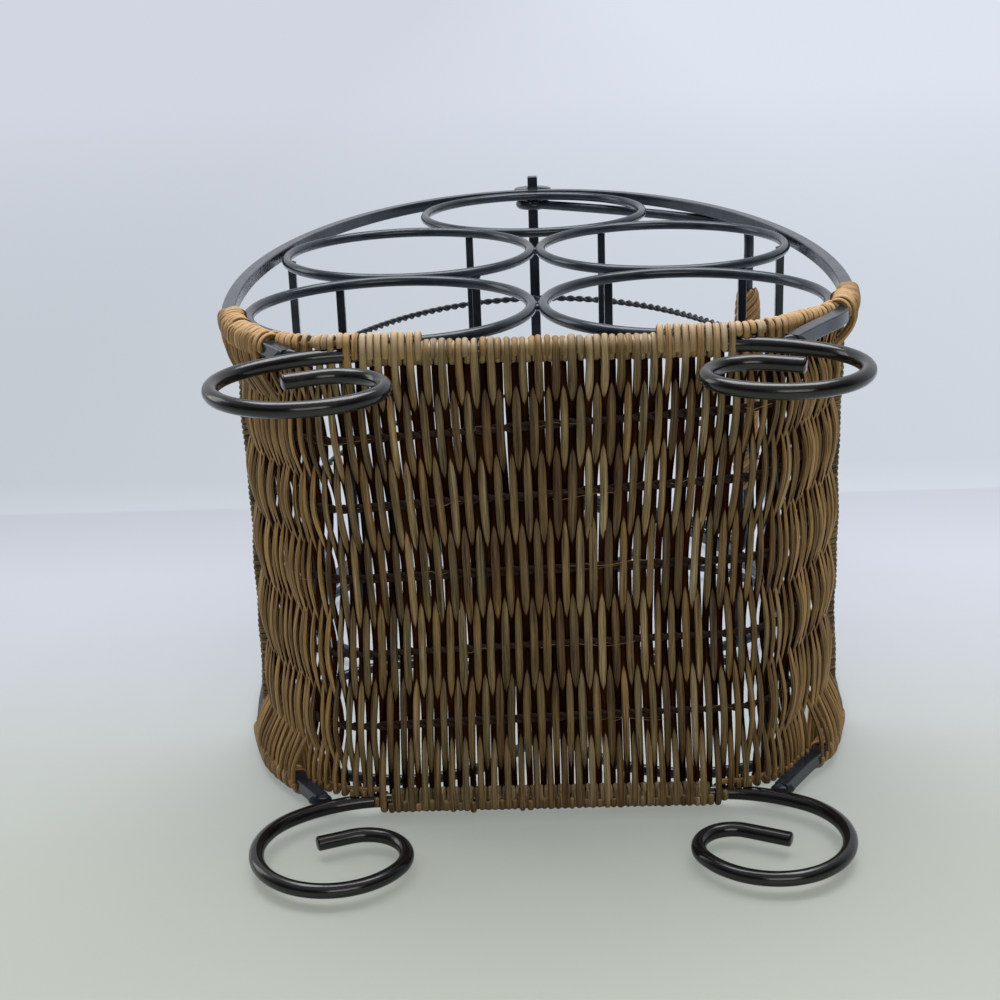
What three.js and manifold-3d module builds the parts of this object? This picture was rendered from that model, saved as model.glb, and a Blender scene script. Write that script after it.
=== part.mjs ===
// Wine rack for five bottles: a welded frame of square bar, round wire and round rod,
// with a woven reed trough round its bottom and a swinging carrying handle.
// Millimetres, +Z up. The rack lies on its rear frame, so the bottle rings look up:
// X runs across the rack, +Y points to the apex of the arches, Z runs from rear to front.
import * as THREE from "three";
import { mergeVertices } from "three/addons/utils/BufferGeometryUtils.js";
import Module from "manifold-3d";

// Driving dimensions

// Gap left between pieces that touch
const seatGap = 0.3;

// Bottle rings: round wire, two rows of two and one nested on top
const ringCentreRadius = 50;
const ringWireRadius = 2;
const lowerRowY = -1.5;

// Frame arches: square bar in the outline of a tall ellipse with turned-in ends.
// At the sides they stand off the rings by a share of the rings' radius, at the apex by a
// clearance; the ellipse's centre lies between the two lower rows.
const archBar = 4.8;
const archSideShare = 0.121;
const archApexClearance = 0.3;
const archCentreShare = 0.446;
// Where the arch turns in, as shares of the rings' radius: insets from its widest line, and
// rises above the base rod
const kneeInsetShare = 0.244;
const kneeRiseShare = 0.63;
const shoulderRiseShare = 1.23;
const weldInsetShare = 0.622;
const shoulderFullness = 0.8;

// Distance between the planes of the front and rear frames
const rackDepth = 160;

// Base rods with a scroll foot at each end
const rodRadius = 2.5;
const ringToWeave = 7.8;
const scrollStartShare = 0.5;
// Each scroll is bent by hand: radius and sweep in degrees of its lead, its bow and its curl,
// then the length of its straight tip
const scrolls = {
  rear: {
    left: { lead: [50, 41], bow: [26, 197], curl: [14.5, 144], tip: 11 },
    right: { lead: [54, 34], bow: [26, 208], curl: [12, 143], tip: 15 },
  },
  front: {
    left: { lead: [47, 50], bow: [27.5, 183], curl: [16, 152], tip: 9.5 },
    right: { lead: [50, 40], bow: [26, 185], curl: [15.5, 158], tip: 10 },
  },
};

// Bars between the two frames
const supportBar = 3.2;
const sideTieBar = 3.2;
const topTieBar = 4.8;
const topTieRearProud = 3.4;
const topTieFrontProud = 5.9;
const lugRadius = 9;
const lugThickness = 4.8;

// Twisted wire hoops and ribs, at these depths behind the front frame, and the reed woven
// round them
const ribRadius = 1.6;
const ribDepths = [129.5, 102, 75, 48.5, 25];
const hoopInset = 3.6;
const reedThickness = 2.4;
const reedSlack = 0.2;
const strandPitch = 2.42;
const strandSpread = 5.6;
const channelWall = 0.6;
const cornerStartShare = 0.43;
const cornerInset = 4.6;
const sideInset = 10.3;
const sideRiseShare = 1.21;
const channelClearance = 0.4;

// Rim wraps, corner edge wires and corner wraps
const rimOverhang = 3.5;
const rimReed = 1.8;
const raisedLength = 26;
const cornerWireRadius = 1.4;
const cornerWrapTopShare = 1.13;
const cornerWrapEndShare = 0.41;
const cornerWrapShift = 0.8;
const cornerWrapHalfWidth = 5.6;

// Side edge bars and their wraps
const edgeBar = 2.6;
const edgeBarInset = 6.4;
const edgeBarRiseShare = 1.24;
const edgeWrapReed = 2.1;

// Carrying handle
const bailRadius = 2.2;
const bailReach = 129;
const eyeClearance = 0.6;
const armBow = 8.2;
const elbowRise = 3.6;
const gripRadius = 6.1;
const gripLength = 96;
const gripDomeLength = 14;
const gripEndWall = 0.6;

// Sizes that follow from the ones above

const ringPitch = 2 * (ringCentreRadius + ringWireRadius) + seatGap;
const ringX = ringPitch / 2;
const middleRowY = lowerRowY + ringPitch;
const topRowY = middleRowY + ringPitch * Math.sin(Math.PI / 3);
const rearZ = topTieRearProud + archBar / 2;
const frontZ = rearZ + rackDepth;
const middleZ = (rearZ + frontZ) / 2;
const ringOuterRadius = ringCentreRadius + ringWireRadius;
const archSideClearance = archSideShare * ringCentreRadius;
const archHalfWidth = ringX + ringOuterRadius + archSideClearance + archBar / 2;
const archCentreY = lowerRowY + archCentreShare * ringPitch;
const archApexY = topRowY + ringOuterRadius + archApexClearance + archBar / 2;
const archHalfHeight = archApexY - archCentreY;
const topTieY = archApexY + archBar / 2 + seatGap + topTieBar / 2;
const panelHalfThickness = ribRadius + reedSlack + reedThickness;
const rodY = lowerRowY - ringOuterRadius - ringToWeave - panelHalfThickness;
const kneeX = archHalfWidth - kneeInsetShare * ringCentreRadius;
const kneeY = rodY + kneeRiseShare * ringCentreRadius;
const shoulderY = rodY + shoulderRiseShare * ringCentreRadius;
const weldX = archHalfWidth - weldInsetShare * ringCentreRadius;
const scrollStartX = weldX - scrollStartShare * ringCentreRadius;
const flatHalfWidth = weldX - cornerStartShare * ringCentreRadius;
const sideX = archHalfWidth - sideInset;
const sideEndY = rodY + sideRiseShare * ringCentreRadius;
const rimHalfLength = scrollStartX + rimOverhang;
const cornerWireStartX = rimHalfLength - raisedLength;
const rimRadius = rodRadius + seatGap + rimReed;
const cornerWrapHalfHeight = rearZ;
const cornerWrapTopY = rodY + cornerWrapTopShare * ringCentreRadius;
const cornerWrapEndY = rodY + cornerWrapEndShare * ringCentreRadius;
const edgeBarX = archHalfWidth - edgeBarInset;
const edgeBarY = rodY + edgeBarRiseShare * ringCentreRadius;
const hoopApexY = topTieY - topTieBar / 2 - seatGap - ribRadius;

const wasm = await Module();
wasm.setup();

const rack = new THREE.Group();
const paint = { color: 0x17181a, roughness: 0.38, metalness: 0.6 };
const reed = { color: 0x8a7048, roughness: 0.7, metalness: 0 };
const paleReed = { color: 0xb08d5c, roughness: 0.65, metalness: 0 };
const twistedWire = { color: 0x1f2022, roughness: 0.5, metalness: 0.6 };

function addMesh(name, geometry, look, parent = rack) {
  const mesh = new THREE.Mesh(geometry, new THREE.MeshStandardMaterial(look));
  mesh.name = name;
  parent.add(mesh);
  return mesh;
}

// Turns a closed geometry into a solid for joining and cutting, and back
function toSolid(geometry) {
  const bare = geometry.clone();
  bare.deleteAttribute("normal");
  bare.deleteAttribute("uv");
  const merged = mergeVertices(bare, 1e-4);
  return new wasm.Manifold(
    new wasm.Mesh({
      numProp: 3,
      vertProperties: new Float32Array(merged.attributes.position.array),
      triVerts: new Uint32Array(merged.index.array),
    }),
  );
}

function toGeometry(solid) {
  const made = solid.getMesh();
  const geometry = new THREE.BufferGeometry();
  geometry.setAttribute("position", new THREE.BufferAttribute(made.vertProperties, 3));
  geometry.setIndex(new THREE.BufferAttribute(made.triVerts, 1));
  geometry.computeVertexNormals();
  return geometry;
}

// Sections that are swept along a path
function roundSection(radius, sides) {
  return ovalSection(radius, radius, sides);
}

// An oval whose first half axis stands upright on a path that lies flat
function ovalSection(halfHeight, halfWidth, sides) {
  const section = new THREE.Shape();
  for (let i = 0; i < sides; i++) {
    const angle = (2 * Math.PI * i) / sides;
    const x = halfHeight * Math.cos(angle);
    const y = halfWidth * Math.sin(angle);
    if (i === 0) section.moveTo(x, y);
    else section.lineTo(x, y);
  }
  section.closePath();
  return section;
}

function squareSection(side) {
  const half = side / 2;
  const section = new THREE.Shape();
  section.moveTo(-half, -half);
  section.lineTo(half, -half);
  section.lineTo(half, half);
  section.lineTo(-half, half);
  section.closePath();
  return section;
}

// A smooth curve whose steps fall evenly between its control points, so bends get more of them
class StationCurve extends THREE.CatmullRomCurve3 {
  getPointAt(t, target) {
    return this.getPoint(t, target);
  }
  getTangentAt(t, target) {
    return this.getTangent(t, target);
  }
  getSpacedPoints(divisions) {
    return this.getPoints(divisions);
  }
}

function curveThrough(points, closed = false) {
  return new StationCurve(points, closed, "centripetal");
}

// A bar or rod along a curve, with so many steps between neighbouring control points
function sweep(section, path, stepsPerStation = 1) {
  return new THREE.ExtrudeGeometry(section, {
    steps: (path.points.length - 1) * stepsPerStation,
    extrudePath: path,
    bevelEnabled: false,
  });
}

// Plan outlines, drawn at height z

function archHalfWidthAt(y) {
  const rise = (y - archCentreY) / archHalfHeight;
  return archHalfWidth * Math.sqrt(1 - rise * rise);
}

function archPath(z) {
  const weldY = rodY + rodRadius + seatGap;
  const points = [new THREE.Vector3(-weldX, weldY, z)];
  points.push(new THREE.Vector3(-(weldX + kneeX) / 2, (weldY + kneeY) / 2, z));
  points.push(new THREE.Vector3(-kneeX, kneeY, z));
  const halfY = (kneeY + shoulderY) / 2;
  const halfX = (kneeX + archHalfWidthAt(shoulderY)) / 2 + shoulderFullness;
  points.push(new THREE.Vector3(-halfX, halfY, z));
  const startAngle = Math.asin((shoulderY - archCentreY) / archHalfHeight);
  const steps = 22;
  for (let i = 0; i <= steps; i++) {
    const angle = Math.PI - startAngle - ((Math.PI - 2 * startAngle) * i) / steps;
    const x = archHalfWidth * Math.cos(angle);
    const y = archCentreY + archHalfHeight * Math.sin(angle);
    points.push(new THREE.Vector3(x, y, z));
  }
  points.push(new THREE.Vector3(halfX, halfY, z));
  points.push(new THREE.Vector3(kneeX, kneeY, z));
  points.push(new THREE.Vector3((weldX + kneeX) / 2, (weldY + kneeY) / 2, z));
  points.push(new THREE.Vector3(weldX, weldY, z));
  return curveThrough(points);
}

// One scroll: three arcs and a short straight tip
function scrollPoints(z, { lead, bow, curl, tip }) {
  const points = [];
  let x = scrollStartX;
  let y = rodY;
  let heading = 0;
  points.push(new THREE.Vector3(x, y, z));
  for (const [[radius, sweepDegrees], steps] of [[lead, 5], [bow, 10], [curl, 8]]) {
    const turn = THREE.MathUtils.degToRad(sweepDegrees / steps);
    const chord = 2 * radius * Math.sin(turn / 2);
    for (let i = 0; i < steps; i++) {
      x += chord * Math.cos(heading - turn / 2);
      y += chord * Math.sin(heading - turn / 2);
      heading -= turn;
      points.push(new THREE.Vector3(x, y, z));
    }
  }
  x += tip * Math.cos(heading);
  y += tip * Math.sin(heading);
  points.push(new THREE.Vector3(x, y, z));
  return points;
}

function scrollRodPath(z, { left, right }) {
  const points = scrollPoints(z, left).map((p) => new THREE.Vector3(-p.x, p.y, z));
  points.reverse();
  points.push(new THREE.Vector3(0, rodY, z), ...scrollPoints(z, right));
  return curveThrough(points);
}

// The line that the ribs follow inside the weave, from the left side round to the right
function troughPoints(z) {
  const weldY = rodY + rodRadius + seatGap;
  const along = new THREE.Vector2(kneeX - weldX, kneeY - weldY).normalize();
  const inward = new THREE.Vector2(-along.y, along.x).multiplyScalar(cornerInset);
  const right = [
    [flatHalfWidth / 3, rodY],
    [flatHalfWidth * 0.75, rodY],
    [flatHalfWidth, rodY],
    [weldX - (weldX - flatHalfWidth) * 0.6, rodY + 1.1],
    [weldX + along.x * 4 + inward.x, weldY + along.y * 4 + inward.y],
    [(weldX + kneeX) / 2 + inward.x, (weldY + kneeY) / 2 + inward.y],
    [kneeX + inward.x, kneeY + inward.y],
    [(kneeX + inward.x + sideX) / 2 + 1.2, (kneeY + sideEndY) / 2 + 1],
    [sideX, sideEndY],
  ];
  const points = right.map(([x, y]) => new THREE.Vector3(-x, y, z)).reverse();
  points.push(...right.map(([x, y]) => new THREE.Vector3(x, y, z)));
  return points;
}

// Half width of the hoops at a level of y
function hoopHalfWidth(y) {
  const rise = (y - archCentreY) / (hoopApexY - archCentreY);
  return (archHalfWidth - hoopInset) * Math.sqrt(Math.max(0, 1 - rise * rise));
}

// A full hoop: the trough line below, and above it an ellipse inside the arches
function hoopPath(z) {
  const points = troughPoints(z);
  const halfWidth = archHalfWidth - hoopInset;
  const halfHeight = hoopApexY - archCentreY;
  const startAngle = Math.asin((sideEndY + 30 - archCentreY) / halfHeight);
  const steps = 16;
  for (let i = 0; i <= steps; i++) {
    const angle = startAngle + ((Math.PI - 2 * startAngle) * i) / steps;
    const x = halfWidth * Math.cos(angle);
    const y = archCentreY + halfHeight * Math.sin(angle);
    points.push(new THREE.Vector3(x, y, z));
  }
  return curveThrough(points, true);
}

// Frames

const frames = [
  ["rear", rearZ, -1],
  ["front", frontZ, 1],
];

for (const [place, z] of frames) {
  addMesh(place + "_arch", sweep(squareSection(archBar), archPath(z), 2), paint);
  const rodPath = scrollRodPath(z, scrolls[place]);
  addMesh(place + "_scroll_rod", sweep(roundSection(rodRadius, 8), rodPath), paint);
}

// Bottle rings and the bars that join each front ring to its rear ring

// Each ring's place, and how far its left and right support bars stand from its lowest point,
// in degrees round the ring
const ringPlaces = [
  ["lower_left", -ringX, lowerRowY, 30, 35],
  ["lower_right", ringX, lowerRowY, 35, 30],
  ["middle_left", -ringX, middleRowY, 29, 35],
  ["middle_right", ringX, middleRowY, 29, 34],
  ["top", 0, topRowY, 35, 36],
];

function straightBar(side, length) {
  return new THREE.BoxGeometry(side, side, length);
}

const barLength = rackDepth - 2 * (ringWireRadius + seatGap);

for (const [place, x, y, leftAngle, rightAngle] of ringPlaces) {
  for (const [frame, z] of frames) {
    const ring = new THREE.TorusGeometry(ringCentreRadius, ringWireRadius, 8, 28);
    addMesh(frame + "_ring_" + place, ring, paint).position.set(x, y, z);
  }
  for (const [hand, side, degrees] of [["left", -1, leftAngle], ["right", 1, rightAngle]]) {
    const angle = THREE.MathUtils.degToRad(degrees);
    const bar = addMesh(
      "support_bar_" + place + "_" + hand,
      straightBar(supportBar, barLength),
      paint,
    );
    const barX = x + side * ringCentreRadius * Math.sin(angle);
    bar.position.set(barX, y - ringCentreRadius * Math.cos(angle), middleZ);
  }
}

// Tie bars at the sides and outside the apex

for (const [hand, side] of [["left", -1], ["right", 1]]) {
  const bar = addMesh("side_tie_bar_" + hand, straightBar(sideTieBar, barLength), paint);
  const tieX = hoopHalfWidth(middleRowY) - ribRadius - 2 * seatGap - sideTieBar / 2;
  bar.position.set(side * tieX, middleRowY, middleZ);
}

const topTieLength = topTieRearProud + archBar + rackDepth + topTieFrontProud;
const topTie = addMesh("top_tie_bar", straightBar(topTieBar, topTieLength), paint);
topTie.position.set(0, topTieY, topTieLength / 2);

// Half-round lug outside the apex, open towards the arch for the top tie bar
function lugGeometry() {
  const outline = new THREE.Shape();
  const baseY = archApexY + archBar / 2 + seatGap - topTieY;
  const startAngle = Math.asin(baseY / lugRadius);
  const slotHalf = topTieBar / 2 + seatGap;
  outline.moveTo(slotHalf, baseY);
  outline.absarc(0, 0, lugRadius, startAngle, Math.PI - startAngle, false);
  outline.lineTo(-slotHalf, baseY);
  outline.lineTo(-slotHalf, slotHalf);
  outline.lineTo(slotHalf, slotHalf);
  outline.closePath();
  return new THREE.ExtrudeGeometry(outline, {
    depth: lugThickness,
    bevelEnabled: false,
    curveSegments: 14,
  });
}

for (const [place, z] of frames) {
  const lug = addMesh(place + "_apex_lug", lugGeometry(), paint);
  lug.position.set(0, topTieY, z - lugThickness / 2);
}

// Twisted wire hoops and ribs

// From rear to front; the second and fourth are full hoops
const ribLevels = ribDepths.map((depth) => frontZ - depth);

const hoopSteps = 54;

function isHoop(index) {
  return index % 2 === 1;
}

// The wire of one level, or the channel that clears it
function ribGeometry(index, radius) {
  const z = ribLevels[index];
  if (isHoop(index)) return new THREE.TubeGeometry(hoopPath(z), hoopSteps, radius, 6, true);
  return sweep(roundSection(radius, 6), curveThrough(troughPoints(z)));
}

ribLevels.forEach((z, index) => {
  const name = (isHoop(index) ? "hoop_" : "rib_") + (index + 1);
  addMesh(name, ribGeometry(index, ribRadius), twistedWire);
});

const ribChannels = ribLevels.map((z, index) => toSolid(ribGeometry(index, ribRadius + channelClearance)));

// Corner wraps round the turned-in ends of the arches

// Parameter of a plan curve at a level of y, on the half where y falls from start to end
function parameterAt(curve, y, start, end) {
  let low = start;
  let high = end;
  for (let i = 0; i < 40; i++) {
    const middle = (low + high) / 2;
    if (curve.getPoint(middle).y > y) low = middle;
    else high = middle;
  }
  return (low + high) / 2;
}

// A stretch of the arch, moved outward in plan
function shiftedStretch(curve, start, end, steps, outward) {
  const points = [];
  for (let i = 0; i <= steps; i++) {
    const t = start + ((end - start) * i) / steps;
    const along = curve.getTangent(t);
    const point = curve.getPoint(t);
    points.push(new THREE.Vector3(point.x - along.y * outward, point.y + along.x * outward, point.z));
  }
  return curveThrough(points);
}

// A sleeve round the arch between two levels of y on one side; grown widens it for a cut
function cornerWrapSolid(z, side, grown) {
  const curve = archPath(z);
  const apex = 0.5;
  const end = side > 0 ? 1 : 0;
  const top = parameterAt(curve, cornerWrapTopY + grown, apex, end);
  const bottom = parameterAt(curve, cornerWrapEndY - grown, apex, end);
  const body = shiftedStretch(curve, top, bottom, 4, cornerWrapShift);
  const section = ovalSection(cornerWrapHalfHeight + grown, cornerWrapHalfWidth + grown, 12);
  return toSolid(sweep(section, body));
}

function archBore(z) {
  return toSolid(sweep(squareSection(archBar + 2 * seatGap), archPath(z), 2));
}

const cornerCuts = [];
for (const [place, z] of frames) {
  const bore = archBore(z);
  for (const [hand, side] of [["left", -1], ["right", 1]]) {
    const ring = new THREE.TorusGeometry(ringCentreRadius, ringWireRadius + seatGap, 8, 28);
    const ringCut = toSolid(ring.translate(side * ringX, lowerRowY, z));
    const wrap = cornerWrapSolid(z, side, 0).subtract(bore).subtract(ringCut);
    addMesh(place + "_corner_wrap_" + hand, toGeometry(wrap), paleReed);
    cornerCuts.push(cornerWrapSolid(z, side, seatGap));
  }
}

// Rim wraps: a sleeve round the base rod, raised at both ends where it takes in a corner wire

const wireOffset = rodRadius + seatGap + cornerWireRadius;
const raisedRadius = cornerWireRadius + seatGap + rimReed;
const raisedX = cornerWireStartX + raisedLength / 2;

function cylinderAlongX(radius, length, sides, x, z) {
  const cylinder = new THREE.CylinderGeometry(radius, radius, length, sides);
  cylinder.rotateX(Math.PI / 2).rotateY(Math.PI / 2);
  return toSolid(cylinder.translate(x, rodY, z));
}

function rimWrapSolid(z) {
  let wrap = cylinderAlongX(rimRadius, 2 * rimHalfLength, 12, 0, z);
  // The bores run on past the ends of the sleeves
  const overrun = 2;
  for (const side of [-1, 1]) {
    const raised = cylinderAlongX(raisedRadius, raisedLength, 12, side * raisedX, z + wireOffset);
    const boreX = side * (raisedX + seatGap + overrun / 2);
    const boreRadius = cornerWireRadius + seatGap;
    const bore = cylinderAlongX(boreRadius, raisedLength + overrun, 8, boreX, z + wireOffset);
    wrap = wrap.add(raised).subtract(bore);
  }
  return wrap.subtract(cylinderAlongX(rodRadius + seatGap, 2 * rimHalfLength + overrun, 10, 0, z));
}

for (const [place, z] of frames) {
  addMesh(place + "_rim_wrap", toGeometry(rimWrapSolid(z)), paleReed);
}

// Corner wires: from the front side of the base rod, under the rim wrap, round the corner
// of the trough to the corner wrap

function cornerWireSolid(z, side, radius) {
  const line = curveThrough(troughPoints(z));
  const leaveX = rimHalfLength + 1;
  const startX = cornerWireStartX + 2 * seatGap;
  const points = [
    new THREE.Vector3(side * startX, rodY, z + wireOffset),
    new THREE.Vector3(side * (leaveX - 3), rodY, z + wireOffset),
    new THREE.Vector3(side * leaveX, rodY, z + wireOffset),
  ];
  // It ends in the plane between the frame and the edge of the trough
  const edgeLift = rimRadius - cornerWireRadius;
  const endLift = z > middleZ ? -edgeLift : edgeLift;
  const arrival = parameterAt(line, cornerWrapEndY, 1, 0.5);
  for (const [before, lift] of [[0.1, 0.9 * wireOffset], [0.048, endLift], [0, endLift]]) {
    const point = line.getPoint(arrival - before);
    points.push(new THREE.Vector3(side * point.x, point.y, z + lift));
  }
  return toSolid(sweep(roundSection(radius, 8), curveThrough(points), 3));
}

for (const [place, z] of frames) {
  for (const [hand, side] of [["left", -1], ["right", 1]]) {
    let wire = cornerWireSolid(z, side, cornerWireRadius);
    for (const cut of cornerCuts) wire = wire.subtract(cut);
    addMesh(place + "_corner_wire_" + hand, toGeometry(wire), paleReed);
  }
}

// The woven trough between the rims, with channels for the hoops and ribs

const panelEndY = edgeBarY - edgeBar / 2 - seatGap - edgeWrapReed - seatGap;
const panelRearZ = rearZ + rimRadius + seatGap;
const panelFrontZ = frontZ - rimRadius - seatGap;

const troughLine = curveThrough(troughPoints(0));
troughLine.arcLengthDivisions = 1600;
const troughLength = troughLine.getLength();

// A point at a distance from the middle of the trough line, moved outward from it
function besideTrough(distance, outward, z) {
  const t = troughLine.getUtoTmapping(0.5 + distance / troughLength);
  const point = troughLine.getPoint(t);
  const along = troughLine.getTangent(t).multiplyScalar(outward);
  return [point.x + along.y, point.y - along.x, z];
}

// Distance along the trough line from its middle to the panel's end
function panelHalfLength() {
  let low = 0;
  let high = troughLength / 2;
  for (let i = 0; i < 30; i++) {
    const middle = (low + high) / 2;
    if (besideTrough(middle, 0, 0)[1] < panelEndY) low = middle;
    else high = middle;
  }
  return low;
}

// Strands spread outward along the rim as they rise to the front frame
function spreadStrand(distance, z, halfLength) {
  const reach = Math.abs(distance) / halfLength;
  const lean = THREE.MathUtils.smoothstep(z, middleZ, panelFrontZ);
  return distance + Math.sign(distance) * strandSpread * Math.sin(Math.PI * reach) * lean;
}

// Where it passes a rib each strand stands proud outside or inside it, opposite to its
// neighbours and to its own side at the next rib. Halfway between ribs the strands lie level.
function wovenRows() {
  const halfLength = panelHalfLength();
  const strands = Math.floor(halfLength / strandPitch - 0.5);
  const tucked = ribRadius + channelClearance + channelWall;
  const ribLevels = ribDepths.map((depth) => frontZ - depth);
  const ends = [panelRearZ, ...ribLevels, panelFrontZ];
  const rows = [];
  const addPlainRow = (z, half) => {
    const steps = 2 * (troughLine.points.length - 1);
    const row = [];
    for (let i = 0; i <= steps; i++) {
      row.push({ distance: halfLength * ((2 * i) / steps - 1), outer: half, inner: half });
    }
    rows.push({ z, row });
  };
  addPlainRow(panelRearZ, panelHalfThickness);
  ribLevels.forEach((z, level) => {
    addPlainRow((ends[level] + z) / 2, reedThickness / 2);
    const row = [{ distance: -halfLength, outer: tucked, inner: tucked }];
    for (let strand = -strands; strand <= strands; strand++) {
      const distance = spreadStrand(strand * strandPitch, z, halfLength);
      const outside = (strand + level) % 2 === 0;
      row.push({
        distance,
        outer: outside ? panelHalfThickness : tucked,
        inner: outside ? tucked : panelHalfThickness,
      });
    }
    row.push({ distance: halfLength, outer: tucked, inner: tucked });
    rows.push({ z, row });
  });
  addPlainRow((ends[ribLevels.length] + panelFrontZ) / 2, reedThickness / 2);
  addPlainRow(panelFrontZ, panelHalfThickness);
  return rows;
}

// Triangles between two rows of points that need not be as many
function joinRows(faces, low, high, outward) {
  let i = 0;
  let j = 0;
  while (i < low.length - 1 || j < high.length - 1) {
    const lowNext = i < low.length - 1 ? low[i + 1].distance : Infinity;
    const highNext = j < high.length - 1 ? high[j + 1].distance : Infinity;
    const next = lowNext <= highNext ? low[i + 1].index : high[j + 1].index;
    const corners = [low[i].index, next, high[j].index];
    if (!outward) corners.reverse();
    faces.push(...corners);
    if (lowNext <= highNext) i += 1;
    else j += 1;
  }
}

function wovenPanel() {
  const positions = [];
  const faces = [];
  const addPoint = (distance, offset, z) => {
    positions.push(...besideTrough(distance, offset, z));
    return { distance, index: positions.length / 3 - 1 };
  };
  const outer = [];
  const inner = [];
  for (const { z, row } of wovenRows()) {
    outer.push(row.map((point) => addPoint(point.distance, point.outer, z)));
    inner.push(row.map((point) => addPoint(point.distance, -point.inner, z)));
  }
  const top = outer.length - 1;
  for (let k = 0; k < top; k++) {
    joinRows(faces, outer[k], outer[k + 1], true);
    joinRows(faces, inner[k], inner[k + 1], false);
    const left = [outer[k][0], outer[k + 1][0], inner[k][0], inner[k + 1][0]];
    const right = [outer[k], outer[k + 1], inner[k], inner[k + 1]].map((row) => row.at(-1));
    for (const [[a, b, c, d], outward] of [[left, true], [right, false]]) {
      const corners = [a.index, b.index, c.index, b.index, d.index, c.index];
      if (!outward) corners.reverse();
      faces.push(...corners);
    }
  }
  joinRows(faces, inner[0], outer[0], true);
  joinRows(faces, inner[top], outer[top], false);
  const panel = new THREE.BufferGeometry();
  panel.setAttribute("position", new THREE.Float32BufferAttribute(positions, 3));
  panel.setIndex(faces);
  return panel;
}

// Notches in the rear edge of the trough for the raised ends of the rim wrap, and grooves
// for the corner wires
function edgeCuts() {
  const cuts = [];
  const topZ = rearZ + wireOffset + raisedRadius + seatGap;
  const width = raisedLength + 2 * seatGap;
  for (const side of [-1, 1]) {
    const notch = new THREE.BoxGeometry(width, 4 * panelHalfThickness, topZ - rearZ);
    cuts.push(toSolid(notch.translate(side * raisedX, rodY, (topZ + rearZ) / 2)));
    cuts.push(cornerWireSolid(rearZ, side, cornerWireRadius + seatGap));
    cuts.push(cornerWireSolid(frontZ, side, cornerWireRadius + seatGap));
  }
  return cuts;
}

let weave = toSolid(wovenPanel());
for (const cut of [...ribChannels, ...cornerCuts, ...edgeCuts()]) weave = weave.subtract(cut);
addMesh("woven_trough", toGeometry(weave), reed);

// Edge bars that close the sides of the trough, wrapped in fine reed

const edgeLength = rackDepth - archBar - 2 * seatGap;

for (const [hand, side] of [["left", -1], ["right", 1]]) {
  const bar = addMesh("edge_bar_" + hand, straightBar(edgeBar, edgeLength), paint);
  bar.position.set(side * edgeBarX, edgeBarY, middleZ);
  const wrapRadius = edgeBar / 2 + seatGap + edgeWrapReed;
  const sleeve = new THREE.CylinderGeometry(wrapRadius, wrapRadius, edgeLength - 1, 10);
  sleeve.rotateX(Math.PI / 2).translate(side * edgeBarX, edgeBarY, middleZ);
  const bore = straightBar(edgeBar + 2 * seatGap, edgeLength + 2);
  bore.translate(side * edgeBarX, edgeBarY, middleZ);
  let wrap = toSolid(sleeve).subtract(toSolid(bore));
  for (const channel of ribChannels) wrap = wrap.subtract(channel);
  addMesh("edge_wrap_" + hand, toGeometry(wrap), reed);
}

// Carrying handle: a wire bail with an eye at each end round the top tie bar

const eyeRadius = topTieBar / Math.SQRT2 + eyeClearance + bailRadius;
const eyeDrop = lugThickness / 2 + eyeClearance + bailRadius;

// The handle lies against the hoops: from upright it is lowered until the grip meets them
function restAngle() {
  const hoop = hoopPath(0).getSpacedPoints(400);
  const reach = gripRadius + ribRadius + eyeClearance;
  const step = THREE.MathUtils.degToRad(0.1);
  let angle = Math.PI / 2;
  let gap = Infinity;
  while (gap > reach && angle > -Math.PI / 2) {
    angle -= step;
    const x = bailReach * Math.cos(angle);
    const y = topTieY + bailReach * Math.sin(angle);
    gap = Math.min(...hoop.map((p) => Math.hypot(p.x - x, p.y - y)));
  }
  return angle;
}

const handle = new THREE.Group();
handle.position.set(0, topTieY, 0);
handle.rotation.z = restAngle();
rack.add(handle);

// One arm from the eye out to the elbow. It bows out along the arch, passes behind it,
// and humps up beside it before it turns down the grip.
function armPoints(z, outward) {
  const stations = [
    [eyeRadius, 0, 0],
    [bailReach * 0.3, armBow * 0.62, 0],
    [bailReach * 0.55, armBow * 0.97, 0],
    [bailReach * 0.75, armBow, 0],
    [bailReach * 0.86, armBow * 0.85, elbowRise * 0.15],
    [bailReach * 0.94, armBow * 0.5, elbowRise * 0.95],
    [bailReach - bailRadius, armBow * 0.12, elbowRise * 0.9],
    [bailReach, 0, -bailRadius],
  ];
  return stations.map(([x, bow, rise]) => new THREE.Vector3(x, bow, z + outward * rise));
}

const frontArmZ = frontZ - eyeDrop;
const rearArmZ = rearZ + eyeDrop;
const frontArm = armPoints(frontArmZ, 1);
const rearArm = armPoints(rearArmZ, -1).reverse();
const gripEnd = new THREE.Vector3(bailReach, 0, middleZ + gripLength / 2);
const gripStart = new THREE.Vector3(bailReach, 0, middleZ - gripLength / 2);
const bailPath = curveThrough([...frontArm, gripEnd, gripStart, ...rearArm]);
let bail = toSolid(sweep(roundSection(bailRadius, 8), bailPath, 2));
for (const z of [frontArmZ, rearArmZ]) {
  const eye = new THREE.TorusGeometry(eyeRadius, bailRadius, 8, 16);
  bail = bail.add(toSolid(eye.translate(0, 0, z)));
}
addMesh("bail", toGeometry(bail), paint, handle);

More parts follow.
